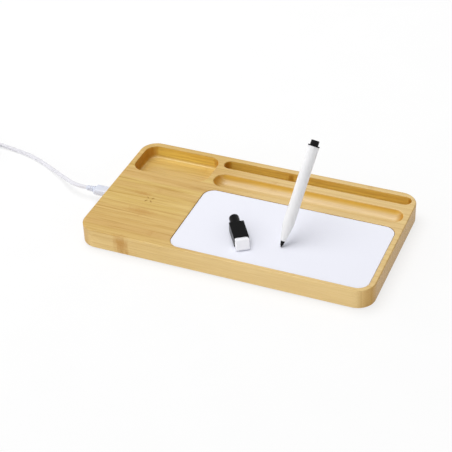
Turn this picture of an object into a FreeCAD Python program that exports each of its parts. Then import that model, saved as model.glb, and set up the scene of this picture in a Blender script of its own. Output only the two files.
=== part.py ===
# Bamboo desk organizer with a charging pad, a whiteboard, a tray and two pen grooves,
# its charging electronics and cable, and the marker and eraser cap that lie on its board.
# Millimetres: +X along the block to the right, +Y to the back, +Z up from the table.
# The origin is on the table, under the middle of the block.
import FreeCAD, Part
import math
import os

from FreeCAD import Placement, Rotation, Vector

# How far a cutting shape runs past the face that it cuts
cut_overrun = 1.0

# Bamboo block
block_length = 240.0
block_width = 132.0
block_height = 16.5
block_corner_radius = 14.3
block_top_round = 1.0
block_bottom_round = 0.5

# Feet
foot_diameter = 12.0
foot_height = 1.0
foot_round = 0.3
foot_inset = 16.0

# Wood left around and between the hollows
left_rim = 4.8
right_rim = 4.5
front_rim = 3.7
back_rim = 5.3
tray_rib = 4.5
slot_rib = 8.1
board_rib = 5.2
hollow_edge_round = 0.4

# Tray at the back left
tray_width = 38.0
tray_depth = 10.5
tray_corner_radius = 10.0
tray_floor_round = 3.0

# Narrow slot along the back, and the wide groove in front of it, which a ball cutter makes
field_length = 160.0
slot_width = 11.0
slot_depth = 9.5
slot_floor_round = 4.0
groove_radius = 10.0
groove_depth = 6.0

# Whiteboard in its recess
board_recess_depth = 2.0
board_corner_radius = 9.6
board_clearance = 0.3
board_thickness = 1.2
board_edge_round = 0.3
board_glue_thickness = 0.3
board_glue_inset = 5.0

# Charging mark, four burnt strokes around the middle of the pad
mark_from_left = 38.5
mark_shift_back = 8.65
mark_stroke_start = 1.7
mark_stroke_length = 2.5
mark_stroke_width = 0.8
mark_depth = 0.3
mark_strokes = 4

# Charging coil, a flat spiral glued under the pad's skin of wood
pad_skin = 3.5
coil_glue_thickness = 0.2
coil_wire_diameter = 1.2
coil_pitch = 1.65
coil_inner_radius = 10.5
coil_turns = 7
bond_gap = 0.03

# Ferrite disc and circuit board under the coil
ferrite_margin = 1.5
ferrite_thickness = 1.0
circuit_margin = 2.6
circuit_thickness = 1.2
circuit_tab_clearance = 0.3
circuit_tab_setback = 2.5

# Pocket for the electronics, open below, with a boss in each corner
pocket_wall = 5.5
pocket_clearance = 1.2
pocket_corner_radius = 5.0
boss_radius = 8.0
boss_screw_share = 0.5

# Bottom cover and its screws
cover_thickness = 2.0
cover_clearance = 0.25
cover_post_diameter = 5.0
cover_post_ring_share = 0.8
cover_posts = 4
screw_length = 8.0
screw_diameter = 2.2
screw_head_diameter = 4.2
screw_head_height = 1.1
screw_tip_length = 1.2
screw_clearance = 0.15
screw_thread_clearance = 0.03
screw_slot_width = 0.6
screw_slot_depth = 0.55
screw_slot_share = 0.7

# Parts on the underside of the circuit board, with places as shares of its radius
chip_size = 6.0
chip_height = 0.9
chip_place_shares = (0.10, -0.32)
switch_size = 3.3
switch_height = 0.8
switch_places_shares = ((-0.42, 0.28), (-0.24, 0.28), (-0.06, 0.28), (0.12, 0.28))
capacitor_length = 4.5
capacitor_width = 3.2
capacitor_height = 2.0
capacitor_places_shares = ((0.42, -0.24), (0.42, -0.08), (0.42, 0.08), (0.42, 0.24))
can_diameter = 5.0
can_height = 5.4
can_base_height = 1.0
can_round = 0.4
can_place_shares = (-0.46, -0.10)

# Plug of the cable and the socket that it sits in
port_behind_mark = 9.0
port_recess = 1.2
port_clearance = 0.4
plug_width = 8.25
plug_height = 2.4
plug_wall = 0.5
plug_insertion = 6.4
plug_root = 3.0
plug_hollow_depth = 5.6
plug_clearance = 0.1
receptacle_wall = 0.33
receptacle_length = 7.4
receptacle_back = 0.8
tongue_width = 6.7
tongue_thickness = 0.7
tongue_length = 4.5

# Grip and strain relief of the plug
grip_width = 10.6
grip_height = 5.8
grip_length = 16.6
grip_back_round = 1.6
grip_front_round = 0.4
grip_seat_gap = 0.15
relief_length = 7.8
relief_root_diameter = 5.2
relief_tip_diameter = 4.2
relief_ring_depth = 0.35
relief_ring_share = 0.6
relief_rings = 4

# Cord: each arc reaches this share of its shorter run to both sides of its point
cord_diameter = 3.4
cord_reach_share = 0.45
cord_table_gap = 0.05

# Route of the lead from the strain relief: distance out to the left, distance to the back,
# and height as a share of the plug's height above the table
lead_route = (
    (0.0, 0.0),
    (9.6, 0.0),
    (21.1, 6.4),
    (34.6, 16.0),
    (48.6, 24.4),
    (63.0, 31.4),
    (78.5, 36.6),
    (94.5, 39.2),
    (110.5, 41.0),
    (124.0, 41.3),
)
lead_height_shares = (1.0, 1.0, 0.74, 0.24, 0.0, 0.0, 0.0, 0.0, 0.0, 0.0)
lead_rest_points = 2

# Put-away coil of the cord: two layers that spiral in and out again
cord_pitch = 3.9
cord_layer_step = 3.9
cord_coil_radius = 24.5
cord_inward_turns = 3
cord_outward_quarter_turns = 11
tie_thickness = 0.8
tie_width = 10.0
tie_clearance = 0.15
tie_round = 1.0
tie_quarter_turns = 2
tie_turn_share = 0.25

# Route of the cord's tail from the coil to the far plug: forward, aside, and height as a share
tail_route = (
    (0.0, 0.0),
    (9.0, 0.0),
    (19.0, 2.0),
    (29.0, 3.4),
    (38.0, 3.4),
)
tail_height_shares = (1.0, 1.0, 0.5, 0.0, 0.0)

# Far plug of the cable
far_grip_width = 15.6
far_grip_height = 7.6
far_grip_length = 22.0
far_grip_round = 2.0
far_relief_length = 9.0
far_relief_root_diameter = 6.0
far_relief_tip_diameter = 4.4
far_plug_width = 12.0
far_plug_height = 4.5
far_plug_length = 11.8
far_plug_wall = 0.35
far_plug_root = 3.0
far_insert_height = 1.9
far_insert_setback = 0.6
far_insert_clearance = 0.05

# Marker, standing on its nib; its place is measured from the recess's left and front edges
marker_from_board_left = 83.7
marker_from_board_front = 27.1
marker_tilt = 37.1
marker_heading = 79.3
marker_rest_gap = 0.1
marker_length = 85.0
marker_diameter = 8.8
marker_wall = 0.9
nose_length = 12.8
nose_front_diameter = 4.0
nose_bore_length = 4.0
nib_diameter = 1.4
nib_tip_diameter = 0.7
nib_cone_length = 1.0
nib_exposed = 1.5
nib_clearance = 0.05
holder_front_diameter = 2.2
holder_root_diameter = 3.4
holder_exposed = 3.4
holder_stem_diameter = 2.7
holder_stem_clearance = 0.05
reservoir_clearance = 0.1
reservoir_tail_gap = 6.4
reservoir_setback = 0.4
tail_flange_diameter = 9.2
tail_flange_thickness = 0.9
tail_stub_diameter = 6.5
tail_stub_length = 3.9
tail_stub_round = 0.4
tail_insert_length = 8.0
tail_insert_clearance = 0.05

# Eraser cap, lying on the board; its place is measured to the middle of its holder's back end
cap_from_board_left = 44.0
cap_from_board_front = 35.4
cap_heading = -57.0
cap_rest_gap = 0.1
cap_neck_length = 10.4
cap_neck_diameter = 7.9
cap_bore_clearance = 0.1
cap_bore_depth = 14.0
cap_holder_length = 20.0
cap_holder_width = 11.8
cap_holder_height = 8.8
cap_holder_wall = 0.7
cap_holder_round = 0.7
felt_socket_depth = 8.5
felt_clearance = 0.1
felt_exposed = 7.5
felt_slant = 3.4
felt_round = 0.9
magnet_length = 6.0
magnet_width = 7.0
magnet_thickness = 1.8
magnet_clearance = 0.1

# Faces of the block and of its hollows
block_bottom = foot_height
block_top = block_bottom + block_height
left_face = -block_length / 2
right_face = block_length / 2
front_face = -block_width / 2
back_face = block_width / 2
field_right = right_face - right_rim
field_left = field_right - field_length
slot_back = back_face - back_rim
slot_front = slot_back - slot_width
groove_half_width = math.sqrt(groove_radius**2 - (groove_radius - groove_depth) ** 2)
groove_middle = slot_front - slot_rib - groove_half_width
board_back = groove_middle - groove_half_width - board_rib
board_front = front_face + front_rim
tray_left = left_face + left_rim
tray_right = field_left - tray_rib
tray_front = slot_back - tray_width
board_floor = block_top - board_recess_depth
board_underside = board_floor + board_glue_thickness
board_top = board_underside + board_thickness

# Middle of the pad, and the stack of pieces below its skin
mark_x = left_face + mark_from_left
mark_y = (front_face + tray_front) / 2 + mark_shift_back
pocket_ceiling = block_top - pad_skin
coil_glue_underside = pocket_ceiling - coil_glue_thickness
coil_outer_radius = coil_inner_radius + coil_turns * coil_pitch
coil_height = coil_glue_underside - bond_gap - coil_wire_diameter / 2
ferrite_top = coil_height - coil_wire_diameter / 2 - bond_gap
ferrite_radius = coil_outer_radius + coil_wire_diameter / 2 + ferrite_margin
circuit_top = ferrite_top - ferrite_thickness
circuit_bottom = circuit_top - circuit_thickness
circuit_radius = ferrite_radius + circuit_margin
pocket_left = left_face + pocket_wall
pocket_right = mark_x + circuit_radius + pocket_clearance
pocket_front = mark_y - circuit_radius - pocket_clearance
pocket_back = mark_y + circuit_radius + pocket_clearance
cover_top = block_bottom + cover_thickness
screw_inset = boss_radius * boss_screw_share

# Port, plug and the point where the cord leaves the strain relief
receptacle_height = plug_height + 2 * (plug_clearance + receptacle_wall)
receptacle_width = plug_width + 2 * (plug_clearance + receptacle_wall)
port_mouth = left_face + port_recess
port_y = mark_y + port_behind_mark
port_z = circuit_bottom - receptacle_height / 2
plug_front = Vector(port_mouth - grip_seat_gap, port_y, port_z)
cord_radius = cord_diameter / 2
lead_exit = plug_front - Vector(grip_length + relief_length, 0, 0)
table_height = cord_radius + cord_table_gap
coil_low = table_height + tie_thickness + tie_clearance
coil_high = coil_low + cord_layer_step
far_plug_z = far_grip_height / 2 + cord_table_gap


def rounded_outline(x_min, x_max, y_min, y_max, radius, z):
    """Face of a rectangle with round corners, lying level at height z."""
    turn = radius * math.sqrt(0.5)
    corners = (
        (x_max - radius, y_min + radius, 1, -1),
        (x_max - radius, y_max - radius, 1, 1),
        (x_min + radius, y_max - radius, -1, 1),
        (x_min + radius, y_min + radius, -1, -1),
    )
    arcs = []
    for x, y, side_x, side_y in corners:
        across = Vector(x + side_x * radius, y, z)
        along = Vector(x, y + side_y * radius, z)
        middle = Vector(x + side_x * turn, y + side_y * turn, z)
        ends = (along, across) if side_x * side_y < 0 else (across, along)
        arcs.append((ends[0], middle, ends[1]))
    edges = []
    for index, (start, middle, end) in enumerate(arcs):
        edges.append(Part.Arc(start, middle, end).toShape())
        following = arcs[(index + 1) % len(arcs)][0]
        if end.distanceToPoint(following) > Part.Precision.confusion() * 10:
            edges.append(Part.LineSegment(end, following).toShape())
    return Part.Face(Part.Wire(edges))


def rounded_block(x_min, x_max, y_min, y_max, radius, z_min, z_max):
    """Upright block with round corners in plan."""
    face = rounded_outline(x_min, x_max, y_min, y_max, radius, z_min)
    return face.extrude(Vector(0, 0, z_max - z_min))


def box_between(low, high):
    """Plain block between two corners."""
    size = high - low
    return Part.makeBox(size.x, size.y, size.z, low)


def centred_box(length, width, height, x, y, z_min):
    """Plain block whose middle in plan is at x, y."""
    return Part.makeBox(length, width, height, Vector(x - length / 2, y - width / 2, z_min))


def level_edges(shape, z):
    """Edges of a shape that lie level at height z."""
    near = Part.Precision.confusion() * 10
    found = []
    for edge in shape.Edges:
        box = edge.BoundBox
        if abs(box.ZMin - z) < near and abs(box.ZMax - z) < near:
            found.append(edge)
    return found


def upright_end_edges(shape, x):
    """Edges of a shape that lie in the upright plane at x."""
    near = Part.Precision.confusion() * 10
    found = []
    for edge in shape.Edges:
        box = edge.BoundBox
        if abs(box.XMin - x) < near and abs(box.XMax - x) < near:
            found.append(edge)
    return found


def turned(profile, axis):
    """Solid of revolution from (place along the axis, radius) points; the axis is +X or +Z."""
    if axis.x:
        points = [Vector(along, 0, radius) for along, radius in profile]
    else:
        points = [Vector(radius, 0, along) for along, radius in profile]
    outline = Part.makePolygon(points + points[:1])
    return Part.Face(outline).revolve(Vector(0, 0, 0), axis, 360)


def flat_oval_bar(width, height, x_min, x_max):
    """Bar along X, centred on the axis, with a flat oval section of width in Y and height in Z."""
    radius = height / 2
    side = width / 2 - radius
    upper = Part.LineSegment(Vector(x_min, side, radius), Vector(x_min, -side, radius))
    left = Part.Arc(Vector(x_min, -side, radius), Vector(x_min, -width / 2, 0), Vector(x_min, -side, -radius))
    lower = Part.LineSegment(Vector(x_min, -side, -radius), Vector(x_min, side, -radius))
    right = Part.Arc(Vector(x_min, side, -radius), Vector(x_min, width / 2, 0), Vector(x_min, side, radius))
    outline = Part.Wire([curve.toShape() for curve in (upper, left, lower, right)])
    return Part.Face(outline).extrude(Vector(x_max - x_min, 0, 0))


def placed(shape, position, heading=0.0):
    """Copy of a shape turned about Z by heading degrees and moved to position."""
    copy = shape.copy()
    copy.Placement = Placement(position, Rotation(Vector(0, 0, 1), heading))
    return copy


def bamboo_block():
    block = rounded_block(
        left_face, right_face, front_face, back_face, block_corner_radius, block_bottom, block_top
    )
    block = block.makeFillet(block_top_round, level_edges(block, block_top))
    block = block.makeFillet(block_bottom_round, level_edges(block, block_bottom))
    block = block.cut([tray_space(), slot_space(), groove_space(), board_space()])
    top_face = max(block.Faces, key=lambda face: face.CenterOfMass.z * (face.normalAt(0, 0).z > 0.5))
    hollow_edges = []
    for outline in top_face.Wires:
        if not outline.isSame(top_face.OuterWire):
            hollow_edges.extend(outline.Edges)
    block = block.makeFillet(hollow_edge_round, hollow_edges)
    return block.cut([pocket_space(), port_space()] + screw_holes() + mark_strokes_cut())


def tray_space():
    floor = block_top - tray_depth
    space = rounded_block(
        tray_left, tray_right, tray_front, slot_back, tray_corner_radius, floor, block_top + cut_overrun
    )
    return space.makeFillet(tray_floor_round, level_edges(space, floor))


def slot_space():
    """Slot with full round ends, and a floor that is round along its sides."""
    floor = block_top - slot_depth
    space = rounded_block(
        field_left, field_right, slot_front, slot_back, slot_width / 2, floor, block_top + cut_overrun
    )
    return space.makeFillet(slot_floor_round, level_edges(space, floor))


def groove_space():
    """Path of a ball cutter: a round bar with ball ends, sunk to the groove's depth."""
    start = field_left + groove_half_width
    end = field_right - groove_half_width
    z = block_top - groove_depth + groove_radius
    outline = [
        Part.Arc(
            Vector(start - groove_radius, 0, 0),
            Vector(start - groove_radius * math.sqrt(0.5), groove_radius * math.sqrt(0.5), 0),
            Vector(start, groove_radius, 0),
        ).toShape(),
        Part.LineSegment(Vector(start, groove_radius, 0), Vector(end, groove_radius, 0)).toShape(),
        Part.Arc(
            Vector(end, groove_radius, 0),
            Vector(end + groove_radius * math.sqrt(0.5), groove_radius * math.sqrt(0.5), 0),
            Vector(end + groove_radius, 0, 0),
        ).toShape(),
        Part.LineSegment(Vector(end + groove_radius, 0, 0), Vector(start - groove_radius, 0, 0)).toShape(),
    ]
    bar = Part.Face(Part.Wire(outline)).revolve(Vector(0, 0, 0), Vector(1, 0, 0), 360)
    return placed(bar, Vector(0, groove_middle, z))


def board_space():
    return rounded_block(
        field_left, field_right, board_front, board_back, board_corner_radius, board_floor,
        block_top + cut_overrun,
    )


def pocket_space():
    """Pocket for the electronics; its corners keep bosses that the cover seats on."""
    space = rounded_block(
        pocket_left, pocket_right, pocket_front, pocket_back, pocket_corner_radius,
        block_bottom - cut_overrun, pocket_ceiling,
    )
    bosses = []
    for x in (pocket_left, pocket_right):
        for y in (pocket_front, pocket_back):
            bosses.append(Part.makeCylinder(boss_radius, pocket_ceiling - cover_top, Vector(x, y, cover_top)))
    return space.cut(bosses)


def screw_places():
    places = []
    for x in (pocket_left + screw_inset, pocket_right - screw_inset):
        for y in (pocket_front + screw_inset, pocket_back - screw_inset):
            places.append((x, y))
    return places


def screw_holes():
    """Pilot holes in the bosses."""
    radius = screw_diameter / 2 + screw_thread_clearance
    depth = block_bottom + screw_length + screw_clearance - cover_top + cut_overrun
    holes = []
    for x, y in screw_places():
        holes.append(Part.makeCylinder(radius, depth, Vector(x, y, cover_top - cut_overrun)))
    return holes


def port_space():
    """Opening in the left wall that takes the plug's grip and the socket."""
    bar = flat_oval_bar(
        grip_width + 2 * port_clearance, grip_height + 2 * port_clearance,
        left_face - cut_overrun, pocket_left + cut_overrun,
    )
    return placed(bar, Vector(0, port_y, port_z))


def mark_strokes_cut():
    """Short shallow strokes, set diagonally around the middle of the pad."""
    radius = mark_stroke_width / 2
    strokes = []
    for index in range(mark_strokes):
        heading = 360 / mark_strokes * (index + 0.5)
        stroke = rounded_block(
            mark_stroke_start, mark_stroke_start + mark_stroke_length, -radius, radius,
            radius, block_top - mark_depth, block_top + cut_overrun,
        )
        strokes.append(placed(stroke, Vector(mark_x, mark_y, 0), heading))
    return strokes


def feet():
    """One round foot near each corner, by name."""
    inset_x = block_length / 2 - foot_inset
    inset_y = block_width / 2 - foot_inset
    made = {}
    for row, side_y in (("front", -1), ("back", 1)):
        for side, side_x in (("left", -1), ("right", 1)):
            foot = Part.makeCylinder(foot_diameter / 2, foot_height)
            foot = foot.makeFillet(foot_round, level_edges(foot, 0))
            made[f"foot_{row}_{side}"] = placed(foot, Vector(side_x * inset_x, side_y * inset_y, 0))
    return made


def whiteboard_panel():
    panel = rounded_block(
        field_left + board_clearance, field_right - board_clearance,
        board_front + board_clearance, board_back - board_clearance,
        board_corner_radius - board_clearance, board_underside, board_top,
    )
    return panel.makeFillet(board_edge_round, level_edges(panel, board_top))


def whiteboard_adhesive():
    return rounded_block(
        field_left + board_glue_inset, field_right - board_glue_inset,
        board_front + board_glue_inset, board_back - board_glue_inset,
        board_corner_radius - board_glue_inset, board_floor, board_underside,
    )


def screw_profile(clearance):
    """Half outline of a countersunk screw, point up, as (height, radius) points."""
    shank = screw_diameter / 2 + clearance
    head = screw_head_diameter / 2 + clearance
    return [
        (0, 0),
        (0, head),
        (screw_head_height, shank),
        (screw_length - screw_tip_length, shank),
        (screw_length, 0),
    ]


def cover_screws():
    """Four alike screws, each with a cross slot in its head."""
    slot_length = screw_head_diameter * screw_slot_share
    screw = turned(screw_profile(0), Vector(0, 0, 1))
    for length, width in ((slot_length, screw_slot_width), (screw_slot_width, slot_length)):
        screw = screw.cut(centred_box(length, width, screw_slot_depth, 0, 0, 0))
    return Part.makeCompound([placed(screw, Vector(x, y, block_bottom)) for x, y in screw_places()])


def bottom_cover():
    """Plate flush with the underside, with posts that carry the circuit board."""
    plate = rounded_block(
        pocket_left + cover_clearance, pocket_right - cover_clearance,
        pocket_front + cover_clearance, pocket_back - cover_clearance,
        pocket_corner_radius - cover_clearance, block_bottom, cover_top,
    )
    ring = circuit_radius * cover_post_ring_share
    for index in range(cover_posts):
        angle = math.radians(360 / cover_posts * (index + 0.5))
        foot = Vector(mark_x + ring * math.cos(angle), mark_y + ring * math.sin(angle), cover_top)
        post = Part.makeCylinder(cover_post_diameter / 2, circuit_bottom - cover_top, foot)
        plate = plate.fuse(post)
    hole = turned(screw_profile(screw_clearance), Vector(0, 0, 1))
    holes = [placed(hole, Vector(x, y, block_bottom)) for x, y in screw_places()]
    return plate.cut(holes).removeSplitter()


def coil_adhesive():
    middle = Vector(mark_x, mark_y, coil_glue_underside)
    return Part.makeCylinder(coil_outer_radius, coil_glue_thickness, middle)


def ferrite_disc():
    return Part.makeCylinder(ferrite_radius, ferrite_thickness, Vector(mark_x, mark_y, circuit_top))


def circuit_board():
    """Round board with a tab that carries the socket into the left wall."""
    disc = Part.makeCylinder(circuit_radius, circuit_thickness, Vector(mark_x, mark_y, circuit_bottom))
    port_radius = grip_height / 2 + port_clearance
    port_side = (grip_width - grip_height) / 2
    half = port_side + math.sqrt(port_radius**2 - (circuit_top - port_z) ** 2) - circuit_tab_clearance
    tab = box_between(
        Vector(left_face + circuit_tab_setback, port_y - half, circuit_bottom),
        Vector(mark_x, port_y + half, circuit_top),
    )
    return disc.fuse(tab).removeSplitter()


def under_board(places, length, width, height):
    """Blocks soldered under the circuit board, at places given as shares of its radius."""
    blocks = []
    for share_x, share_y in places:
        x = mark_x + share_x * circuit_radius
        y = mark_y + share_y * circuit_radius
        blocks.append(centred_box(length, width, height, x, y, circuit_bottom - height))
    return Part.makeCompound(blocks)


def input_capacitor():
    """Upright can on a square base, hanging under the circuit board."""
    share_x, share_y = can_place_shares
    place = Vector(mark_x + share_x * circuit_radius, mark_y + share_y * circuit_radius, circuit_bottom)
    base = centred_box(can_diameter, can_diameter, can_base_height, 0, 0, -can_base_height)
    can = Part.makeCylinder(can_diameter / 2, can_height - can_base_height, Vector(0, 0, -can_height))
    can = can.makeFillet(can_round, level_edges(can, -can_height))
    return placed(base.fuse(can).removeSplitter(), place)


def usb_c_receptacle():
    """Metal sleeve with a closed back, soldered under the circuit board's tab."""
    outer = flat_oval_bar(receptacle_width, receptacle_height, 0, receptacle_length)
    inner = flat_oval_bar(
        plug_width + 2 * plug_clearance, plug_height + 2 * plug_clearance,
        -cut_overrun, receptacle_length - receptacle_back,
    )
    return placed(outer.cut(inner), Vector(port_mouth, port_y, port_z))


def receptacle_tongue():
    back = receptacle_length - receptacle_back
    tongue = centred_box(
        tongue_length, tongue_width, tongue_thickness, back - tongue_length / 2, 0, -tongue_thickness / 2
    )
    return placed(tongue, Vector(port_mouth, port_y, port_z))


def usb_c_plug_shell():
    """Metal sleeve of the plug; its axis points out of the port, from the grip's front face."""
    outer = flat_oval_bar(plug_width, plug_height, -plug_insertion, plug_root)
    inner = flat_oval_bar(
        plug_width - 2 * plug_wall, plug_height - 2 * plug_wall,
        -plug_insertion - cut_overrun, plug_hollow_depth - plug_insertion,
    )
    return placed(outer.cut(inner), plug_front, 180)


def usb_c_plug_grip():
    """Moulded grip with a flat oval section and soft shoulders."""
    grip = flat_oval_bar(grip_width, grip_height, 0, grip_length)
    grip = grip.makeFillet(grip_back_round, upright_end_edges(grip, grip_length))
    grip = grip.makeFillet(grip_front_round, upright_end_edges(grip, 0))
    return placed(grip.cut(flat_oval_bar(plug_width, plug_height, -cut_overrun, plug_root)), plug_front, 180)


def strain_relief(length, root_diameter, tip_diameter):
    """Tapered sleeve along +X from the grip's back, with rings cut into it."""
    step = length / relief_rings
    profile = [(0, 0)]
    for index in range(relief_rings):
        start = index * step
        groove = start + step * relief_ring_share
        end = start + step
        for along, sunk in ((start, 0), (groove, 0), (groove, 1), (end, 1)):
            radius = (root_diameter + (tip_diameter - root_diameter) * along / length) / 2
            if along < length or sunk == 0:
                profile.append((along, radius - sunk * relief_ring_depth))
    profile.append((length, tip_diameter / 2 - relief_ring_depth))
    profile.append((length, 0))
    return turned(profile, Vector(1, 0, 0))


def usb_c_strain_relief():
    relief = strain_relief(relief_length, relief_root_diameter, relief_tip_diameter)
    return placed(relief, plug_front - Vector(grip_length, 0, 0), 180)


def arc_at_corner(start, corner, end):
    """Arc from start to end that is tangent to both lines at their corner."""
    chord = end - start
    middle = (start + end) * 0.5
    turn = (corner - start).getAngle(chord)
    rise = chord.Length / 2 * math.tan(turn / 2)
    towards = (corner - middle).normalize()
    return Part.Arc(start, middle + towards * rise, end).toShape()


def bent_path(name, points):
    """Straight runs joined by tangent arcs, each as large as its two runs allow."""
    edges = []
    radii = []
    start = points[0]
    for before, corner, after in zip(points, points[1:], points[2:]):
        inward = corner - before
        outward = after - corner
        reach = cord_reach_share * min(inward.Length, outward.Length)
        radii.append(reach / math.tan(inward.getAngle(outward) / 2))
        arc_start = corner - inward.normalize() * reach
        arc_end = corner + outward.normalize() * reach
        edges.append(Part.LineSegment(start, arc_start).toShape())
        edges.append(arc_at_corner(arc_start, corner, arc_end))
        start = arc_end
    edges.append(Part.LineSegment(start, points[-1]).toShape())
    print(name, "bend radii", [round(radius, 1) for radius in radii])
    return edges


def two_arcs(start, start_way, end, end_way):
    """Two arcs that join two points with the given directions."""
    across = end - start
    both = start_way + end_way
    spread = 2 * (1 - start_way.dot(end_way))
    along = across.dot(both)
    reach = (math.sqrt(along**2 + spread * across.dot(across)) - along) / spread
    first = start + start_way * reach
    second = end - end_way * reach
    joint = (first + second) * 0.5
    return [arc_at_corner(start, first, joint), arc_at_corner(joint, second, end)]


def round_tube(name, edges, diameter):
    """Round tube along a path of edges."""
    path = Part.Wire(edges)
    first = edges[0]
    way = first.tangentAt(first.FirstParameter)
    section = Part.Wire(Part.Circle(edges[0].valueAt(first.FirstParameter), way, diameter / 2).toShape())
    tube = path.makePipeShell([section], True, False)
    ratio = tube.Volume / (math.pi * diameter**2 / 4 * path.Length)
    print(name, "length", round(path.Length, 1), "volume over section times length", round(ratio, 4))
    return tube


def least_gap(name, edges, diameter):
    """Prints the least gap between the tube's own neighbouring turns."""
    points = []
    for edge in edges:
        for share in (0.0, 0.25, 0.5, 0.75):
            span = edge.LastParameter - edge.FirstParameter
            points.append((edge.valueAt(edge.FirstParameter + share * span), edge.Length / 4))
    places = []
    travelled = 0
    for point, step in points:
        places.append((point, travelled))
        travelled += step
    closest = math.inf
    for index, (point, place) in enumerate(places):
        for other, other_place in places[index + 1 :]:
            if other_place - place > 2 * math.pi * diameter:
                closest = min(closest, point.distanceToPoint(other))
    print(name, "least gap", round(closest - diameter, 2))


def charging_coil():
    """Flat spiral from the outside in, a quarter turn at a time."""

    def place(quarter):
        angle = quarter * math.pi / 2
        radius = coil_outer_radius - coil_pitch * quarter / 4
        slope = -coil_pitch / (2 * math.pi)
        outward = Vector(math.cos(angle), math.sin(angle), 0)
        around = Vector(-math.sin(angle), math.cos(angle), 0)
        point = Vector(mark_x, mark_y, coil_height) + outward * radius
        return point, (around * radius + outward * slope).normalize()

    edges = []
    for quarter in range(4 * coil_turns):
        edges.extend(two_arcs(*place(quarter), *place(quarter + 1)))
    least_gap("charging_coil", edges, coil_wire_diameter)
    return round_tube("charging_coil", edges, coil_wire_diameter)


def lead_points():
    """Route of the lead, from the strain relief to the coil."""
    points = []
    for index, ((out, back), share) in enumerate(zip(lead_route, lead_height_shares)):
        low = coil_low if index >= len(lead_route) - lead_rest_points else table_height
        z = low + share * (lead_exit.z - low)
        points.append(Vector(lead_exit.x - out, lead_exit.y + back, z))
    return points


def cord_coil_place(quarter):
    """Point and direction of the put-away coil after a number of quarter turns."""
    points = lead_points()
    heading = (points[-1] - points[-2]).normalize()
    slope = cord_pitch / (2 * math.pi)
    start_angle = math.atan2(heading.y, heading.x) - math.pi / 2 - math.atan(slope / cord_coil_radius)
    start = points[-1] + heading * cord_diameter
    centre = start - Vector(math.cos(start_angle), math.sin(start_angle), 0) * cord_coil_radius
    quarters_in = 4 * cord_inward_turns
    inner_radius = cord_coil_radius - cord_pitch * cord_inward_turns
    climb = min(max(quarter - quarters_in, 0), 2) * math.pi / 2
    inward = min(quarter, quarters_in) * math.pi / 2
    outward = max(quarter - quarters_in - 2, 0) * math.pi / 2
    bend = climb**2 / math.pi - climb
    radius = inner_radius + slope * (quarters_in * math.pi / 2 - inward + outward + bend)
    rate = -slope + 2 * slope * climb / math.pi
    z = coil_low + cord_layer_step * (1 - math.cos(climb)) / 2
    rise = cord_layer_step * math.sin(climb) / 2
    angle = start_angle + quarter * math.pi / 2
    radial = Vector(math.cos(angle), math.sin(angle), 0)
    around = Vector(-math.sin(angle), math.cos(angle), 0)
    point = Vector(centre.x, centre.y, z) + radial * radius
    return point, (around * radius + radial * rate + Vector(0, 0, rise)).normalize(), centre, angle


cord_quarters = 4 * cord_inward_turns + 2 + cord_outward_quarter_turns


def cord_coil_end():
    """End of the coil's straight last stretch, and the level direction that it points in."""
    point, way, centre, angle = cord_coil_place(cord_quarters)
    return point + way * cord_diameter, way


def cable_coil():
    """Two layers of turns, with one straight diameter of cord at both ends."""
    entry = lead_points()[-1]
    edges = [Part.LineSegment(entry, cord_coil_place(0)[0]).toShape()]
    for quarter in range(cord_quarters):
        edges.extend(two_arcs(*cord_coil_place(quarter)[:2], *cord_coil_place(quarter + 1)[:2]))
    edges.append(Part.LineSegment(cord_coil_place(cord_quarters)[0], cord_coil_end()[0]).toShape())
    least_gap("cable_coil", edges, cord_diameter)
    return round_tube("cable_coil", edges, cord_diameter)


def cable_lead():
    return round_tube("cable_lead", bent_path("cable_lead", lead_points()), cord_diameter)


def tail_points():
    """Route of the tail, from the coil to the far plug's strain relief."""
    end, way = cord_coil_end()
    aside = Vector(-way.y, way.x, 0)
    points = []
    for (forward, side), share in zip(tail_route, tail_height_shares):
        point = end + way * forward + aside * side
        points.append(Vector(point.x, point.y, far_plug_z + share * (end.z - far_plug_z)))
    return points


def cable_tail():
    return round_tube("cable_tail", bent_path("cable_tail", tail_points()), cord_diameter)


def cable_tie():
    """Flat strap closed around all the turns on one side of the coil."""
    angle = cord_coil_place(tie_quarter_turns)[3]
    centre = cord_coil_place(tie_quarter_turns)[2]
    inner_turn = cord_coil_radius - cord_pitch * (cord_inward_turns + tie_turn_share) - cord_radius
    near = math.sqrt(inner_turn**2 - (tie_width / 2) ** 2) - tie_clearance
    far = cord_coil_radius + cord_radius + tie_clearance
    low = coil_low - cord_radius - tie_clearance
    high = coil_high + cord_radius + tie_clearance
    inside = rounded_block(
        near, far, low, high, tie_round, -tie_width / 2 - cut_overrun, tie_width / 2 + cut_overrun
    )
    outside = rounded_block(
        near - tie_thickness, far + tie_thickness, low - tie_thickness, high + tie_thickness,
        tie_round + tie_thickness, -tie_width / 2, tie_width / 2,
    )
    strap = outside.cut(inside)
    standing = Placement(Vector(0, 0, 0), Rotation(Vector(1, 0, 0), 90))
    around = Placement(Vector(centre.x, centre.y, 0), Rotation(Vector(0, 0, 1), math.degrees(angle)))
    strap.Placement = around.multiply(standing)
    return strap


def far_plug_seat():
    """Point of the far grip's front face, and the heading from there back to the cord."""
    end, way = tail_points()[-1], cord_coil_end()[1]
    heading = math.degrees(math.atan2(-way.y, -way.x))
    return end + way * (far_grip_length + far_relief_length), heading


def usb_a_strain_relief():
    seat, heading = far_plug_seat()
    relief = strain_relief(far_relief_length, far_relief_root_diameter, far_relief_tip_diameter)
    back = cord_coil_end()[1] * far_grip_length
    return placed(relief, seat - back, heading)


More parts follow.
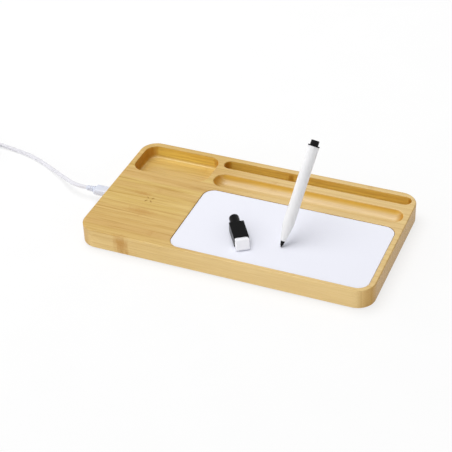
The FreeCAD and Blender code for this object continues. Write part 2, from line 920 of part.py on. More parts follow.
def usb_a_plug_grip():
    seat, heading = far_plug_seat()
    grip = centred_box(
        far_grip_length, far_grip_width, far_grip_height, far_grip_length / 2, 0, -far_grip_height / 2
    )
    grip = grip.makeFillet(far_grip_round, grip.Edges)
    socket = centred_box(
        far_plug_root + cut_overrun, far_plug_width, far_plug_height,
        (far_plug_root - cut_overrun) / 2, 0, -far_plug_height / 2,
    )
    return placed(grip.cut(socket), seat, heading)


def usb_a_plug_shell():
    seat, heading = far_plug_seat()
    length = far_plug_length + far_plug_root
    middle = (far_plug_root - far_plug_length) / 2
    outer = centred_box(length, far_plug_width, far_plug_height, middle, 0, -far_plug_height / 2)
    inner_width = far_plug_width - 2 * far_plug_wall
    inner_height = far_plug_height - 2 * far_plug_wall
    inner = centred_box(length + 2 * cut_overrun, inner_width, inner_height, middle, 0, -inner_height / 2)
    return placed(outer.cut(inner), seat, heading)


def usb_a_insert():
    """Contact carrier that lies on the upper wall inside the far plug's shell."""
    seat, heading = far_plug_seat()
    length = far_plug_length + far_plug_root - far_insert_setback
    middle = far_plug_root - length / 2
    width = far_plug_width - 2 * (far_plug_wall + far_insert_clearance)
    top = far_plug_height / 2 - far_plug_wall
    insert = centred_box(length, width, far_insert_height, middle, 0, top - far_insert_height)
    return placed(insert, seat, heading)


def on_marker(shape):
    """Stands a shape, made along +Z from the nib's tip, on the board at the marker's tilt."""
    tilt = math.radians(marker_tilt)
    heading = math.radians(marker_heading)
    way = Vector(math.sin(tilt) * math.cos(heading), math.sin(tilt) * math.sin(heading), math.cos(tilt))
    low_edge = nib_tip_diameter / 2 * math.sin(tilt)
    tip = Vector(
        field_left + marker_from_board_left,
        board_front + marker_from_board_front,
        board_top + marker_rest_gap + low_edge,
    )
    copy = shape.copy()
    copy.Placement = Placement(tip, Rotation(Vector(0, 0, 1), way))
    return copy


nose_front = nib_exposed + holder_exposed
barrel_start = nose_front + nose_length
barrel_end = marker_length - tail_stub_length - tail_flange_thickness
marker_bore_radius = marker_diameter / 2 - marker_wall
reservoir_start = barrel_start + reservoir_setback
tail_insert_start = barrel_end - tail_insert_length


def marker_barrel():
    """Straight tube that narrows to the nose."""
    nose_bore = holder_stem_diameter / 2 + holder_stem_clearance
    return on_marker(
        turned(
            [
                (nose_front, nose_bore),
                (nose_front, nose_front_diameter / 2),
                (barrel_start, marker_diameter / 2),
                (barrel_end, marker_diameter / 2),
                (barrel_end, marker_bore_radius),
                (barrel_start, marker_bore_radius),
                (nose_front + nose_bore_length, nose_bore),
            ],
            Vector(0, 0, 1),
        )
    )


def marker_nib():
    """Pointed rod that runs from the tip to the ink reservoir."""
    return on_marker(
        turned(
            [
                (0, 0),
                (0, nib_tip_diameter / 2),
                (nib_cone_length, nib_diameter / 2),
                (reservoir_start, nib_diameter / 2),
                (reservoir_start, 0),
            ],
            Vector(0, 0, 1),
        )
    )


def marker_nib_holder():
    """Tapered collar on the nose, with a stem that reaches through it to the reservoir."""
    bore = nib_diameter / 2 + nib_clearance
    return on_marker(
        turned(
            [
                (nib_exposed, bore),
                (nib_exposed, holder_front_diameter / 2),
                (nose_front, holder_root_diameter / 2),
                (nose_front, holder_stem_diameter / 2),
                (reservoir_start, holder_stem_diameter / 2),
                (reservoir_start, bore),
            ],
            Vector(0, 0, 1),
        )
    )


def marker_ink_reservoir():
    radius = marker_bore_radius - reservoir_clearance
    length = tail_insert_start - reservoir_tail_gap - reservoir_start
    return on_marker(Part.makeCylinder(radius, length, Vector(0, 0, reservoir_start)))


def marker_tail_plug():
    """Plug pressed into the barrel, with a flange and a stub that the cap can sit on."""
    insert = marker_bore_radius - tail_insert_clearance
    flange_top = barrel_end + tail_flange_thickness
    stub = tail_stub_diameter / 2
    return on_marker(
        turned(
            [
                (tail_insert_start, 0),
                (tail_insert_start, insert),
                (barrel_end, insert),
                (barrel_end, tail_flange_diameter / 2),
                (flange_top, tail_flange_diameter / 2),
                (flange_top, stub),
                (marker_length - tail_stub_round, stub),
                (marker_length, stub - tail_stub_round),
                (marker_length, 0),
            ],
            Vector(0, 0, 1),
        )
    )


def on_cap(shape):
    """Lays a shape, made along +X from the holder's back end, on the board."""
    back = Vector(
        field_left + cap_from_board_left, board_front + cap_from_board_front, board_top + cap_rest_gap
    )
    return placed(shape, back, cap_heading)


felt_socket_start = cap_holder_length - felt_socket_depth
cap_bore_end = cap_bore_depth - cap_neck_length
magnet_middle = (cap_bore_end + felt_socket_start) / 2


def eraser_cap():
    """Square holder with a round neck; hollow for the marker, the felt and the magnet."""
    middle = cap_holder_height / 2
    holder = centred_box(cap_holder_length, cap_holder_width, cap_holder_height, cap_holder_length / 2, 0, 0)
    long_edges = [edge for edge in holder.Edges if edge.BoundBox.XLength > cap_holder_height]
    holder = holder.makeFillet(cap_holder_round, long_edges)
    neck_length = cap_neck_length + cap_holder_round
    neck = Part.makeCylinder(
        cap_neck_diameter / 2, neck_length, Vector(-cap_neck_length, 0, middle), Vector(1, 0, 0)
    )
    bore = Part.makeCylinder(
        tail_stub_diameter / 2 + cap_bore_clearance, cap_bore_depth + cut_overrun,
        Vector(-cap_neck_length - cut_overrun, 0, middle), Vector(1, 0, 0),
    )
    socket = centred_box(
        felt_socket_depth + cut_overrun, cap_holder_width - 2 * cap_holder_wall,
        cap_holder_height - 2 * cap_holder_wall,
        felt_socket_start + (felt_socket_depth + cut_overrun) / 2, 0, cap_holder_wall,
    )
    seat = centred_box(
        magnet_length + 2 * magnet_clearance, magnet_width + 2 * magnet_clearance,
        magnet_thickness + cut_overrun, magnet_middle, 0, -cut_overrun,
    )
    return on_cap(holder.fuse(neck).cut([bore, socket, seat]).removeSplitter())


def felt_eraser():
    """Felt block that stands out of the holder's open end, with a slanted face and soft edges."""
    length = felt_socket_depth + felt_exposed
    width = cap_holder_width - 2 * (cap_holder_wall + felt_clearance)
    low = cap_holder_wall + felt_clearance
    high = cap_holder_height - low
    start = felt_socket_start
    side = [(start, low), (start + length, low), (start + length - felt_slant, high), (start, high)]
    corners = [Vector(x, -width / 2, z) for x, z in side]
    felt = Part.Face(Part.makePolygon(corners + corners[:1])).extrude(Vector(0, width, 0))
    soft_edges = [edge for edge in felt.Edges if edge.BoundBox.XMin > cap_holder_length]
    return on_cap(felt.makeFillet(felt_round, soft_edges))


def cap_magnet():
    """Flat magnet, flush with the holder's underside, that holds the cap to the board."""
    return on_cap(centred_box(magnet_length, magnet_width, magnet_thickness, magnet_middle, 0, 0))


def all_pieces():
    """Every piece by its name."""
    pieces = {
        "bamboo_block": bamboo_block(),
        "whiteboard_panel": whiteboard_panel(),
        "whiteboard_adhesive": whiteboard_adhesive(),
        "bottom_cover": bottom_cover(),
        "cover_screws": cover_screws(),
        "coil_adhesive": coil_adhesive(),
        "charging_coil": charging_coil(),
        "ferrite_disc": ferrite_disc(),
        "circuit_board": circuit_board(),
        "controller_chip": under_board([chip_place_shares], chip_size, chip_size, chip_height),
        "power_switches": under_board(switch_places_shares, switch_size, switch_size, switch_height),
        "resonance_capacitors": under_board(
            capacitor_places_shares, capacitor_length, capacitor_width, capacitor_height
        ),
        "input_capacitor": input_capacitor(),
        "usb_c_receptacle": usb_c_receptacle(),
        "receptacle_tongue": receptacle_tongue(),
        "usb_c_plug_shell": usb_c_plug_shell(),
        "usb_c_plug_grip": usb_c_plug_grip(),
        "usb_c_strain_relief": usb_c_strain_relief(),
        "cable_lead": cable_lead(),
        "cable_coil": cable_coil(),
        "cable_tail": cable_tail(),
        "cable_tie": cable_tie(),
        "usb_a_strain_relief": usb_a_strain_relief(),
        "usb_a_plug_grip": usb_a_plug_grip(),
        "usb_a_plug_shell": usb_a_plug_shell(),
        "usb_a_insert": usb_a_insert(),
        "marker_barrel": marker_barrel(),
        "marker_tail_plug": marker_tail_plug(),
        "marker_nib_holder": marker_nib_holder(),
        "marker_nib": marker_nib(),
        "marker_ink_reservoir": marker_ink_reservoir(),
        "eraser_cap": eraser_cap(),
        "felt_eraser": felt_eraser(),
        "cap_magnet": cap_magnet(),
    }
    pieces.update(feet())
    return pieces


os.makedirs("parts", exist_ok=True)
for name, shape in all_pieces().items():
    shape.exportStep(f"parts/{name}.step")
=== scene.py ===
"""Looks of a bamboo desk organizer with a charging pad, a whiteboard, a marker and an eraser cap."""
import math
from types import SimpleNamespace

import bmesh
import bpy
from bpy.props import FloatProperty, FloatVectorProperty, IntProperty, PointerProperty
from mathutils import Matrix, Vector, noise


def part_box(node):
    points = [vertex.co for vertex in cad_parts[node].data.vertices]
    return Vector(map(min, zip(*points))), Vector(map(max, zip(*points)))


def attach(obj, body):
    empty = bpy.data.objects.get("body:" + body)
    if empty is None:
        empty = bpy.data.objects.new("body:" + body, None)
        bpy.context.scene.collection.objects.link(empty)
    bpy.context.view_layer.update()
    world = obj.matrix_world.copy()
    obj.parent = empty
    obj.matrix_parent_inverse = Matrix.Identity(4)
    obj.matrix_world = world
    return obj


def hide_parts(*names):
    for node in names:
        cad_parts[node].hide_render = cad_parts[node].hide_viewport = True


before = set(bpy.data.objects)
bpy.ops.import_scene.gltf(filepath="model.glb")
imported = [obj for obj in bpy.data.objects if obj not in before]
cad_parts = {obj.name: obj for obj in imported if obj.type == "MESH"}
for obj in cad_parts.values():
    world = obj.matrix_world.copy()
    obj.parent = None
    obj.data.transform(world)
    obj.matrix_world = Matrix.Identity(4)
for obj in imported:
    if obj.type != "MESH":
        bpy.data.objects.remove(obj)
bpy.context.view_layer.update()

bl_info = {
    "name": "Desk Organizer Looks",
    "version": (1, 0, 0),
    "blender": (4, 5, 0),
    "location": "View3D > Sidebar > Organizer",
    "description": "Materials, cord and soft pieces of a bamboo charging organizer",
    "category": "Object",
}

MM = 0.001

# Route of the cord in metres: the lead's points, the coil's sizes, and the tail's points
# as the way forward from the coil's end, the way aside and the height
LEAD_ROUTE = (
    (-0.14335, -0.0040, 0.00871),
    (-0.15295, -0.0040, 0.00871),
    (-0.16445, 0.0024, 0.00690),
    (-0.17795, 0.0120, 0.00342),
    (-0.19195, 0.0204, 0.00175),
    (-0.20635, 0.0274, 0.00175),
    (-0.22185, 0.0326, 0.00175),
    (-0.23785, 0.0352, 0.00175),
    (-0.25385, 0.0370, 0.00270),
    (-0.26735, 0.0373, 0.00270),
)
COIL_RADIUS = 0.0245
COIL_LOW = 0.0027
COIL_STEP = 0.0039
COIL_PITCH = 0.0039
COIL_TURNS_IN = 3
COIL_QUARTERS = 25
TAIL_ROUTE = (
    (0.000, 0.0000, 0.006600),
    (0.009, 0.0000, 0.006600),
    (0.019, 0.0020, 0.005225),
    (0.029, 0.0034, 0.003850),
    (0.038, 0.0034, 0.003850),
)
CORD_ORDER = 3
CORD_STEPS = 8
CORD_ROUND_STEPS = 6

# Strap around the coil, in metres: it starts past the middle of its top and laps over that start
STRAP_THICKNESS = 0.0008
STRAP_THREAD = 0.0009
STRAP_CORNER = 0.0014
STRAP_STARTS = (0.002, 0.004, 0.006)
STRAP_LAP = 0.0075
STRAP_COLUMNS = 14
STRAP_ARC_STEPS = 6
STRAP_LAP_STEPS = 12
STRAP_RIM_SHARE = 0.86
STRAP_RIM_TAPER = 4.5
STRAP_CLIMB = 2.2
STRAP_FLAT_SHARE = 0.35
STRAP_LIFT_SHARE = 1.02

# Felt of the eraser cap: the cap's turn on the board, the felt's sizes in metres, and its wear as waves
# per millimetre and depth, with a seed so that it is the same in each run
CAP_HEADING = math.radians(-57.0)
FELT_SLANT = 0.0034
FELT_ROUND = 0.0009
FELT_CUTS = 21
FELT_SWELL_SHARE = 0.085
FELT_WEAR = ((0.9, 0.00010), (2.6, 0.00005))
FELT_SEED = 5

# The block, its hollows and its mark, which its material follows, in millimetres
BLOCK_LOW, BLOCK_HIGH = (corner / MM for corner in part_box("bamboo_block"))
BLOCK_HALF = (BLOCK_HIGH - BLOCK_LOW) / 2
BLOCK_TOP = BLOCK_HIGH.z
BLOCK_CORNER = 14.3
OUTER_SKIN = 1.5
BOARD_LOW, BOARD_HIGH = (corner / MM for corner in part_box("whiteboard_panel"))
# Recess around the whiteboard, whose walls are painted dark as shadow in the gap
GAP_SHADE_LEFT = BOARD_LOW.x - 0.5
GAP_SHADE_BACK = BOARD_HIGH.y + 0.73
GAP_SHADE_BLUR = 0.1
TRAY_RIGHT = -49.0
TRAY_FRONT = 21.0
TRAY_BLUR = 1.0
# Band on the tray's floor near its back wall that gets a painted pool of light
TRAY_LIGHT_FROM = 53.0
TRAY_LIGHT_TO = 59.0
HOLLOWS_ABOVE = 5.0
RIM_DEPTH = 1.2
WALL_SHADE_FROM = 1.5
WALL_SHADE_TO = 6.5
MARK_PLACE = (BLOCK_LOW.x + 38.5, -13.0, 0.0)
MARK_REACH = 5.0
MARK_BLUR = 0.4
MARK_DEPTH = 0.1

# Figure of the bamboo in millimetres: how far its strips sway and are shifted, how far its nodes stay
# from the ends, reach and wander, and where the wood turns paler to the right
STRIP_SWAY = 1.6
STRIP_SHIFT = 2.0
STRIP_JUMP = 37.7
NODE_MARGIN = 2.0
NODE_REACH = 4.5
NODE_CORE = 0.5
NODE_WANDER = 6.0
PALE_FROM = -70.0
PALE_TO = 30.0

# Noise of its streaks as waves per millimetre along each axis, detail and roughness, and the waves
# of its fibre bundles, its blotches and the strips' sway
STREAKS = {
    "broad": ((0.006, 0.15, 0.12), 2.0, 0.5),
    "middle": ((0.010, 0.6, 0.5), 3.0, 0.55),
    "fine": ((0.025, 2.4, 2.2), 2.0, 0.6),
    "dashes": ((0.018, 0.46, 0.4), 2.0, 0.5),
}
BUNDLE_WAVES = (0.014, 1.25, 1.25)
BLOTCH_WAVES = (0.45, 0.4, 0.11)
SWAY_WAVES = (0.006, 0.02, 0.05)

# How much of each colour shows in the wood at most
DENSE_SHARE = 0.55
WARM_SHARE = 0.35
OUTER_FACE_SHARE = 0.6
RIGHT_FACE_SHARE = 0.65
FINE_LINE_SHARE = 0.66
OUTER_END_SHARE = 0.5
# Share of painted shade on the hollows' front-facing walls, and of grain streaks over that shade
WALL_SHADE_SHARE = 0.9
WALL_STREAK_SHARE = 0.3
# Share of painted shade on steep walls that are not upright
STEEP_WALL_SHADE_SHARE = 0.45
# Share of end grain with painted shade on the cut ends in the hollows
HOLLOW_END_SHADE_SHARE = 0.8
JOINT_SHARE = 0.22
BURNT_SHARE = 0.65
# Share of the painted pool of light on the tray's floor, away from and next to its back wall
TRAY_LIGHT_SHARES = (0.2, 0.7)

# Depth of each surface's fine relief, in metres
WOOD_RELIEF = 0.00006
ENAMEL_RELIEF = 0.00001
MOULDED_RELIEF = 0.00002
GRAINED_RELIEF = 0.00005
FERRITE_RELIEF = 0.00004
METAL_RELIEF = 0.00001
FELT_RELIEF = 0.00035
WEAVE_RELIEF = 0.00012
TRACK_RELIEF = 0.00003

# Patches where a node of the cane was cut: place and reach in millimetres, and strength
PATCH_WANDER_SHARE = 1.4
NODE_PATCHES = (
    ((-82.5, -66.0, 9.0), (8.5, 4.0, 18.0), 0.8),
    ((12.2, 60.7, 11.0), (5.0, 3.0, 6.5), 0.75),
    ((91.0, 43.4, 11.8), (3.2, 2.2, 3.0), 0.8),
    ((-89.5, -6.8, 17.5), (11.0, 3.4, 4.0), 0.55),
    ((-81.5, -29.5, 17.5), (18.0, 6.0, 4.0), 0.5),
)

# Stage: the camera's sensor in millimetres and nearest distance, the floor's half width, and how far
# above the table the room darkens
SENSOR_WIDTH = 36.0
NEAREST = 0.01
FLOOR_HALF = 6.0
FLOOR_CELLS = 8
ROOM_RISE = 0.75
WHITE = (1.0, 1.0, 1.0)

# Sockets of Blender's Mix node that carry its factor and its two colours, and its colour output
MIX_INPUTS = (0, 6, 7)
MIX_OUTPUT = 2


def tone(red, green, blue):
    """Linear colour of a display colour given in 0 to 255."""
    linear = []
    for level in (red, green, blue):
        share = level / 255
        linear.append(share / 12.92 if share <= 0.04045 else ((share + 0.055) / 1.055) ** 2.4)
    return tuple(linear)


def dimmed(colour, share):
    """Colour with each level lowered to a share of itself."""
    return tuple(level * share for level in colour)


def colour_property(name, description, default):
    """Property for a linear colour."""
    return FloatVectorProperty(
        name=name, description=description, default=default, size=3, min=0.0, max=1.0, subtype="COLOR"
    )


class OrganizerWood(bpy.types.PropertyGroup):
    """Bamboo of the block."""

    light: colour_property("Light", "Pale wood between the fibres", tone(221, 191, 114))
    middle: colour_property("Middle", "Usual wood", tone(207, 174, 90))
    dark: colour_property("Dark", "Dense wood near a strip's skin", tone(176, 131, 40))
    warm: colour_property("Warm", "Warmer wood of some strips", tone(226, 184, 122))
    fibre: colour_property("Fibre", "Fine dark fibre lines", tone(168, 120, 50))
    # Also the painted shadow in the gap around the whiteboard
    node: colour_property("Node", "Wood at the cane's nodes", tone(178, 124, 34))
    face: colour_property("Face", "Broad face of the outermost strips", tone(226, 197, 138))
    # Painted shade on the hollows' front-facing walls: golden near the rim, lighter low down as painted
    # bounce light
    rim_wall_shade: colour_property("Hollow", "Oiled walls of the hollows, near their rims", tone(229, 189, 86))
    low_wall_light: colour_property("Deep", "Oiled walls of the hollows, low down", tone(254, 222, 112))
    # Painted pool of light on the tray's floor
    pale: colour_property("Pale", "Wood on the tray's floor", tone(255, 226, 140))
    # End grain, darkened and made golden with painted shade; also the painted shade on steep walls
    end: colour_property("End", "Cut ends of the strips in the hollows", tone(184, 122, 10))
    scorch: colour_property("Scorch", "Burnt charging mark", tone(150, 94, 26))
    strip: FloatProperty(
        name="Strip", description="Thickness of one glued strip", default=0.0068, min=0.002, max=0.03,
        unit="LENGTH",
    )
    roughness: FloatProperty(
        name="Roughness", description="Sheen of the oiled wood", default=0.28, min=0.0, max=1.0,
        subtype="FACTOR",
    )


class OrganizerPlastics(bpy.types.PropertyGroup):
    """Moulded plastic, felt and the whiteboard."""

    board: colour_property("Board", "Enamel of the whiteboard", tone(235, 236, 245))
    marker: colour_property("Marker", "Marker barrel", tone(238, 238, 240))
    black: colour_property("Black", "Cap, nib holder and tail plug", tone(12, 12, 13))
    felt: colour_property("Felt", "Felt of the eraser", tone(250, 250, 255))
    cable: colour_property("Cable", "Sheath of the cord", tone(221, 220, 226))
    grip: colour_property("Grip", "Plug grips", tone(216, 220, 233))


class OrganizerCord(bpy.types.PropertyGroup):
    """Cable between the two plugs."""

    diameter: FloatProperty(
        name="Diameter", description="Thickness of the cord", default=0.0034, min=0.001, max=0.01,
        unit="LENGTH",
    )
    length: FloatProperty(
        name="Length", description="Cord between its two strain reliefs", default=0.878, min=0.2, max=3.0,
        unit="LENGTH",
    )
    turn_points: IntProperty(
        name="Points per turn", description="Control points in one turn of the coil", default=24, min=12,
        max=48,
    )


class OrganizerStage(bpy.types.PropertyGroup):
    """Camera, floor and studio light."""

    camera: FloatVectorProperty(
        name="Camera", description="Place of the camera", default=(0.32446, -0.78678, 0.63386), size=3,
        subtype="TRANSLATION",
    )
    azimuth: FloatProperty(
        name="Azimuth", description="Turn of the camera about the upright", default=math.radians(23.716),
        subtype="ANGLE",
    )
    elevation: FloatProperty(
        name="Elevation", description="Camera's angle above the table", default=math.radians(36.526),
        subtype="ANGLE",
    )
    roll: FloatProperty(
        name="Roll", description="Camera's turn about its own line of sight", default=math.radians(2.183),
        subtype="ANGLE",
    )
    lens: FloatProperty(
        name="Lens", description="Focal length on a 36 mm sensor", default=106.07, min=20.0, max=300.0,
        unit="CAMERA",
    )
    key: FloatProperty(
        name="Key", description="Large soft light overhead", default=17.3, min=0.0, max=200.0, unit="POWER"
    )
    key_place: FloatVectorProperty(
        name="Key place", description="Place of the soft light", default=(-0.4, 0.18, 1.52), size=3,
        subtype="TRANSLATION",
    )
    key_size: FloatProperty(
        name="Key size", description="Width of the soft light", default=1.3, min=0.1, max=4.0, unit="LENGTH"
    )
    low: FloatProperty(
        name="Low sky", description="Level of the room near the table", default=1.45, min=0.0, max=6.0
    )
    high: FloatProperty(
        name="High sky", description="Level of the room overhead", default=0.28, min=0.0, max=2.0
    )
    front: FloatProperty(
        name="Front sky", description="How much brighter the room is at the front", default=0.4, min=0.0,
        max=0.5, subtype="FACTOR",
    )
    left: FloatProperty(
        name="Left sky", description="How much brighter the room is at the left", default=0.3, min=0.0,
        max=0.5, subtype="FACTOR",
    )
    clear: FloatProperty(
        name="Clear floor", description="How far the floor's own white shows over its shading", default=0.75,
        min=0.0, max=1.0, subtype="FACTOR",
    )


class Graph:
    """Node tree of a material or of the world, built from the texture places to the surface."""

    def __init__(self, owner, output="ShaderNodeOutputMaterial"):
        self.owner = owner
        owner.use_nodes = True
        self.tree = owner.node_tree
        self.tree.nodes.clear()
        self.output = self.tree.nodes.new(output)

    def add(self, kind, inputs=None, **settings):
        node = self.tree.nodes.new(kind)
        for key, value in settings.items():
            setattr(node, key, value)
        for key, value in (inputs or {}).items():
            self.feed(node.inputs[key], value)
        return node

    def feed(self, socket, value):
        if isinstance(value, bpy.types.NodeSocket):
            self.tree.links.new(value, socket)
        elif socket.type == "RGBA" and len(value) == 3:
            socket.default_value = (*value, 1.0)
        else:
            socket.default_value = value

    def place(self, scale=(1.0, 1.0, 1.0)):
        """Point on the piece in millimetres, scaled."""
        source = self.add("ShaderNodeTexCoord").outputs["Object"]
        spread = tuple(share / MM for share in scale)
        return self.add("ShaderNodeMapping", {"Vector": source, "Scale": spread}).outputs["Vector"]

    def axes(self, vector):
        return self.add("ShaderNodeSeparateXYZ", {"Vector": vector}).outputs

    def math(self, operation, first, second=0.0, third=0.0):
        node = self.add("ShaderNodeMath", operation=operation)
        for socket, value in zip(node.inputs, (first, second, third)):
            self.feed(socket, value)
        return node.outputs["Value"]

    def times(self, first, *others):
        """Product of several values."""
        for other in others:
            first = self.math("MULTIPLY", first, other)
        return first

    def span(self, value, low, high, start=0.0, end=1.0, smooth=True):
        """Value carried from one range to another, held at its ends."""
        node = self.add(
            "ShaderNodeMapRange",
            {"Value": value, "From Min": low, "From Max": high, "To Min": start, "To Max": end},
        )
        node.interpolation_type = "SMOOTHSTEP" if smooth else "LINEAR"
        return node.outputs["Result"]

    def noise(self, vector, detail=2.0, roughness=0.5, distortion=0.0):
        inputs = {"Vector": vector, "Scale": 1.0, "Detail": detail, "Roughness": roughness}
        return self.add("ShaderNodeTexNoise", {**inputs, "Distortion": distortion}).outputs["Fac"]

    def mix(self, factor, first, second):
        node = self.add("ShaderNodeMix", data_type="RGBA")
        for index, value in zip(MIX_INPUTS, (factor, first, second)):
            self.feed(node.inputs[index], value)
        return node.outputs[MIX_OUTPUT]

    def vector(self, operation, first, second=(0.0, 0.0, 0.0), output="Vector"):
        return self.add("ShaderNodeVectorMath", {0: first, 1: second}, operation=operation).outputs[output]

    def bump(self, height, distance, strength):
        inputs = {"Height": height, "Distance": distance, "Strength": strength}
        return self.add("ShaderNodeBump", inputs).outputs["Normal"]

    def background_rays(self):
        """One where a ray shows the background: straight, in a gloss or through glass."""
        rays = self.add("ShaderNodeLightPath").outputs
        seen = self.math("MAXIMUM", rays["Is Camera Ray"], rays["Is Transmission Ray"])
        return self.math("MAXIMUM", seen, rays["Is Glossy Ray"])

    def surface(self, **inputs):
        """Principled surface; a name with underscores stands for the socket of those words."""
        shader = self.add("ShaderNodeBsdfPrincipled")
        for key, value in inputs.items():
            self.feed(shader.inputs[key.replace("_", " ").title().replace("Ior", "IOR")], value)
        self.tree.links.new(shader.outputs["BSDF"], self.output.inputs["Surface"])
        return self.owner


def dress(names, material):
    """Gives CAD nodes a material."""
    for name in names:
        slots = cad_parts[name].data.materials
        slots.clear()
        slots.append(material)


def new_piece(name, mesh, body, material, replaced):
    """Object for a mesh that rides a body and stands for CAD nodes."""
    piece = bpy.data.objects.new(name, mesh)
    bpy.context.scene.collection.objects.link(piece)
    piece.data.materials.append(material)
    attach(piece, body)
    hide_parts(*replaced)
    return piece


def mesh_from(name, bm):
    """Mesh from a bmesh, smooth all over."""
    bmesh.ops.recalc_face_normals(bm, faces=bm.faces)
    for face in bm.faces:
        face.smooth = True
    mesh = bpy.data.meshes.new(name)
    bm.to_mesh(mesh)
    bm.free()
    return mesh


def own_box(name, turn):
    """Corners of a CAD node in axes turned about Z, and the turn back to the shared axes."""
    there = Matrix.Rotation(turn, 3, "Z")
    back = there.inverted()
    places = [back @ vertex.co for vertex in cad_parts[name].data.vertices]
    return Vector(map(min, zip(*places))), Vector(map(max, zip(*places))), there


def block_cut(graph):
    """Places on the block in millimetres, and masks of how its wood was cut there."""
    point = graph.place()
    x, y, z = graph.axes(point)
    facing = graph.axes(graph.add("ShaderNodeTexCoord").outputs["Normal"])
    core = (BLOCK_HALF.x - BLOCK_CORNER, BLOCK_HALF.y - BLOCK_CORNER, BLOCK_HALF.x)
    past = graph.vector("SUBTRACT", graph.vector("ABSOLUTE", point), core)
    from_core = graph.vector("LENGTH", graph.vector("MAXIMUM", past), output="Value")
    skin = BLOCK_CORNER - OUTER_SKIN
    outside = graph.span(from_core, skin - 1.0, skin)
    sunken = graph.span(z, BLOCK_TOP - 0.1, BLOCK_TOP - RIM_DEPTH)
    above_base = graph.span(z, HOLLOWS_ABOVE - 1.0, HOLLOWS_ABOVE)
    inside = graph.times(graph.math("SUBTRACT", 1.0, outside), sunken, above_base)
    broad_face = graph.span(graph.math("ABSOLUTE", facing[1]), 0.4, 0.9)
    return SimpleNamespace(
        point=point, x=x, y=y, z=z, facing=facing, outside=outside, inside=inside,
        end_face=graph.span(graph.math("ABSOLUTE", facing[0]), 0.2, 0.8),
        outer_face=graph.times(broad_face, outside),
        # Mask of the hollows' front-facing walls, which get painted shade
        turned=graph.times(inside, graph.span(facing[1], -0.55, -0.85, 0.0, WALL_SHADE_SHARE)),
    )


def strip_grain(graph, cut, strip):
    """Strips glued side by side along X: depth in a strip, its tone and node, and the streaks along it."""
    sway = graph.noise(graph.place(SWAY_WAVES), detail=1.0)
    shifted = graph.math("MULTIPLY_ADD", sway, STRIP_SWAY, graph.math("ADD", cut.y, STRIP_SHIFT))
    across = graph.math("DIVIDE", shifted, strip)
    index = graph.math("FLOOR", across)
    chance = graph.add("ShaderNodeTexWhiteNoise", {"W": index}, noise_dimensions="1D")
    warmth, node_chance, _ = graph.axes(chance.outputs["Color"])
    spread = BLOCK_HALF.x - NODE_MARGIN
    jump = graph.add("ShaderNodeCombineXYZ", {"X": graph.times(index, STRIP_JUMP)}).outputs["Vector"]
    moved = graph.vector("ADD", cut.point, jump)
    streaks = {}
    for name, (waves, detail, roughness) in STREAKS.items():
        stretched = graph.vector("MULTIPLY", moved, waves)
        streaks[name] = graph.noise(stretched, detail=detail, roughness=roughness)
    cells = {"Vector": graph.vector("MULTIPLY", moved, BUNDLE_WAVES), "Scale": 1.0}
    return SimpleNamespace(
        depth=graph.math("FRACT", across), tone=chance.outputs["Value"], warmth=warmth,
        node_place=graph.span(node_chance, 0.0, 1.0, -spread, spread, smooth=False),
        bundles=graph.add("ShaderNodeTexVoronoi", cells).outputs["Distance"],
        **streaks,
    )


def strip_colour(graph, cut, grain, wood):
    """Colour along the strips: pale and dense wood, dark dashes and fine lines, paler to the right."""
    blend = graph.math("MULTIPLY_ADD", grain.broad, 0.5, graph.times(grain.middle, 0.5))
    colour = graph.mix(graph.span(blend, 0.38, 0.6), wood.light, wood.middle)
    colour = graph.mix(graph.times(grain.tone, DENSE_SHARE), colour, wood.dark)
    colour = graph.mix(graph.times(grain.warmth, WARM_SHARE), colour, wood.warm)
    colour = graph.mix(graph.times(cut.outer_face, OUTER_FACE_SHARE), colour, wood.face)
    calm = graph.math("MAXIMUM", cut.end_face, cut.outer_face)
    flame = graph.times(graph.span(grain.dashes, 0.52, 0.72), graph.span(calm, 0.0, 1.0, 0.85, 0.25))
    colour = graph.mix(flame, colour, wood.dark)
    colour = graph.mix(graph.span(grain.fine, 0.48, 0.72, 0.0, FINE_LINE_SHARE), colour, wood.dark)
    colour = graph.mix(graph.span(cut.x, PALE_FROM, PALE_TO, 0.0, RIGHT_FACE_SHARE), colour, wood.face)
    return graph.mix(graph.times(cut.end_face, cut.outside, OUTER_END_SHARE), colour, wood.fibre)


def hollow_shading(graph, cut, grain, wood, colour):
    """Painted shade on the hollows' front-facing walls, lighter low down, and painted light on the tray's
    floor.
    """
    depth = graph.math("SUBTRACT", BLOCK_TOP, cut.z)
    # Painted shade on these walls: golden near the rim, lighter low down as painted bounce light
    oiled = graph.mix(graph.span(depth, WALL_SHADE_FROM, WALL_SHADE_TO), wood.rim_wall_shade, wood.low_wall_light)
    oiled = graph.mix(graph.span(grain.dashes, 0.46, 0.66, 0.0, WALL_STREAK_SHARE), oiled, wood.end)
    colour = graph.mix(cut.turned, colour, oiled)
    # Painted pool of light on the tray's floor near its back wall
    left_of_rib = graph.span(cut.x, TRAY_RIGHT + TRAY_BLUR, TRAY_RIGHT - TRAY_BLUR)
    behind_pad = graph.span(cut.y, TRAY_FRONT - TRAY_BLUR, TRAY_FRONT + TRAY_BLUR)
    off_wall = graph.span(cut.facing[1], -0.97, -0.8)
    glow = graph.span(cut.y, TRAY_LIGHT_FROM, TRAY_LIGHT_TO, *TRAY_LIGHT_SHARES)
    tray_light = graph.times(cut.inside, left_of_rib, behind_pad, off_wall, glow)
    colour = graph.mix(tray_light, colour, wood.pale)
    # Painted shade on steep walls that are not quite upright
    steep_shade = graph.times(cut.turned, graph.span(cut.facing[1], -0.99, -0.93, 0.0, STEEP_WALL_SHADE_SHARE))
    return graph.mix(steep_shade, colour, wood.end)


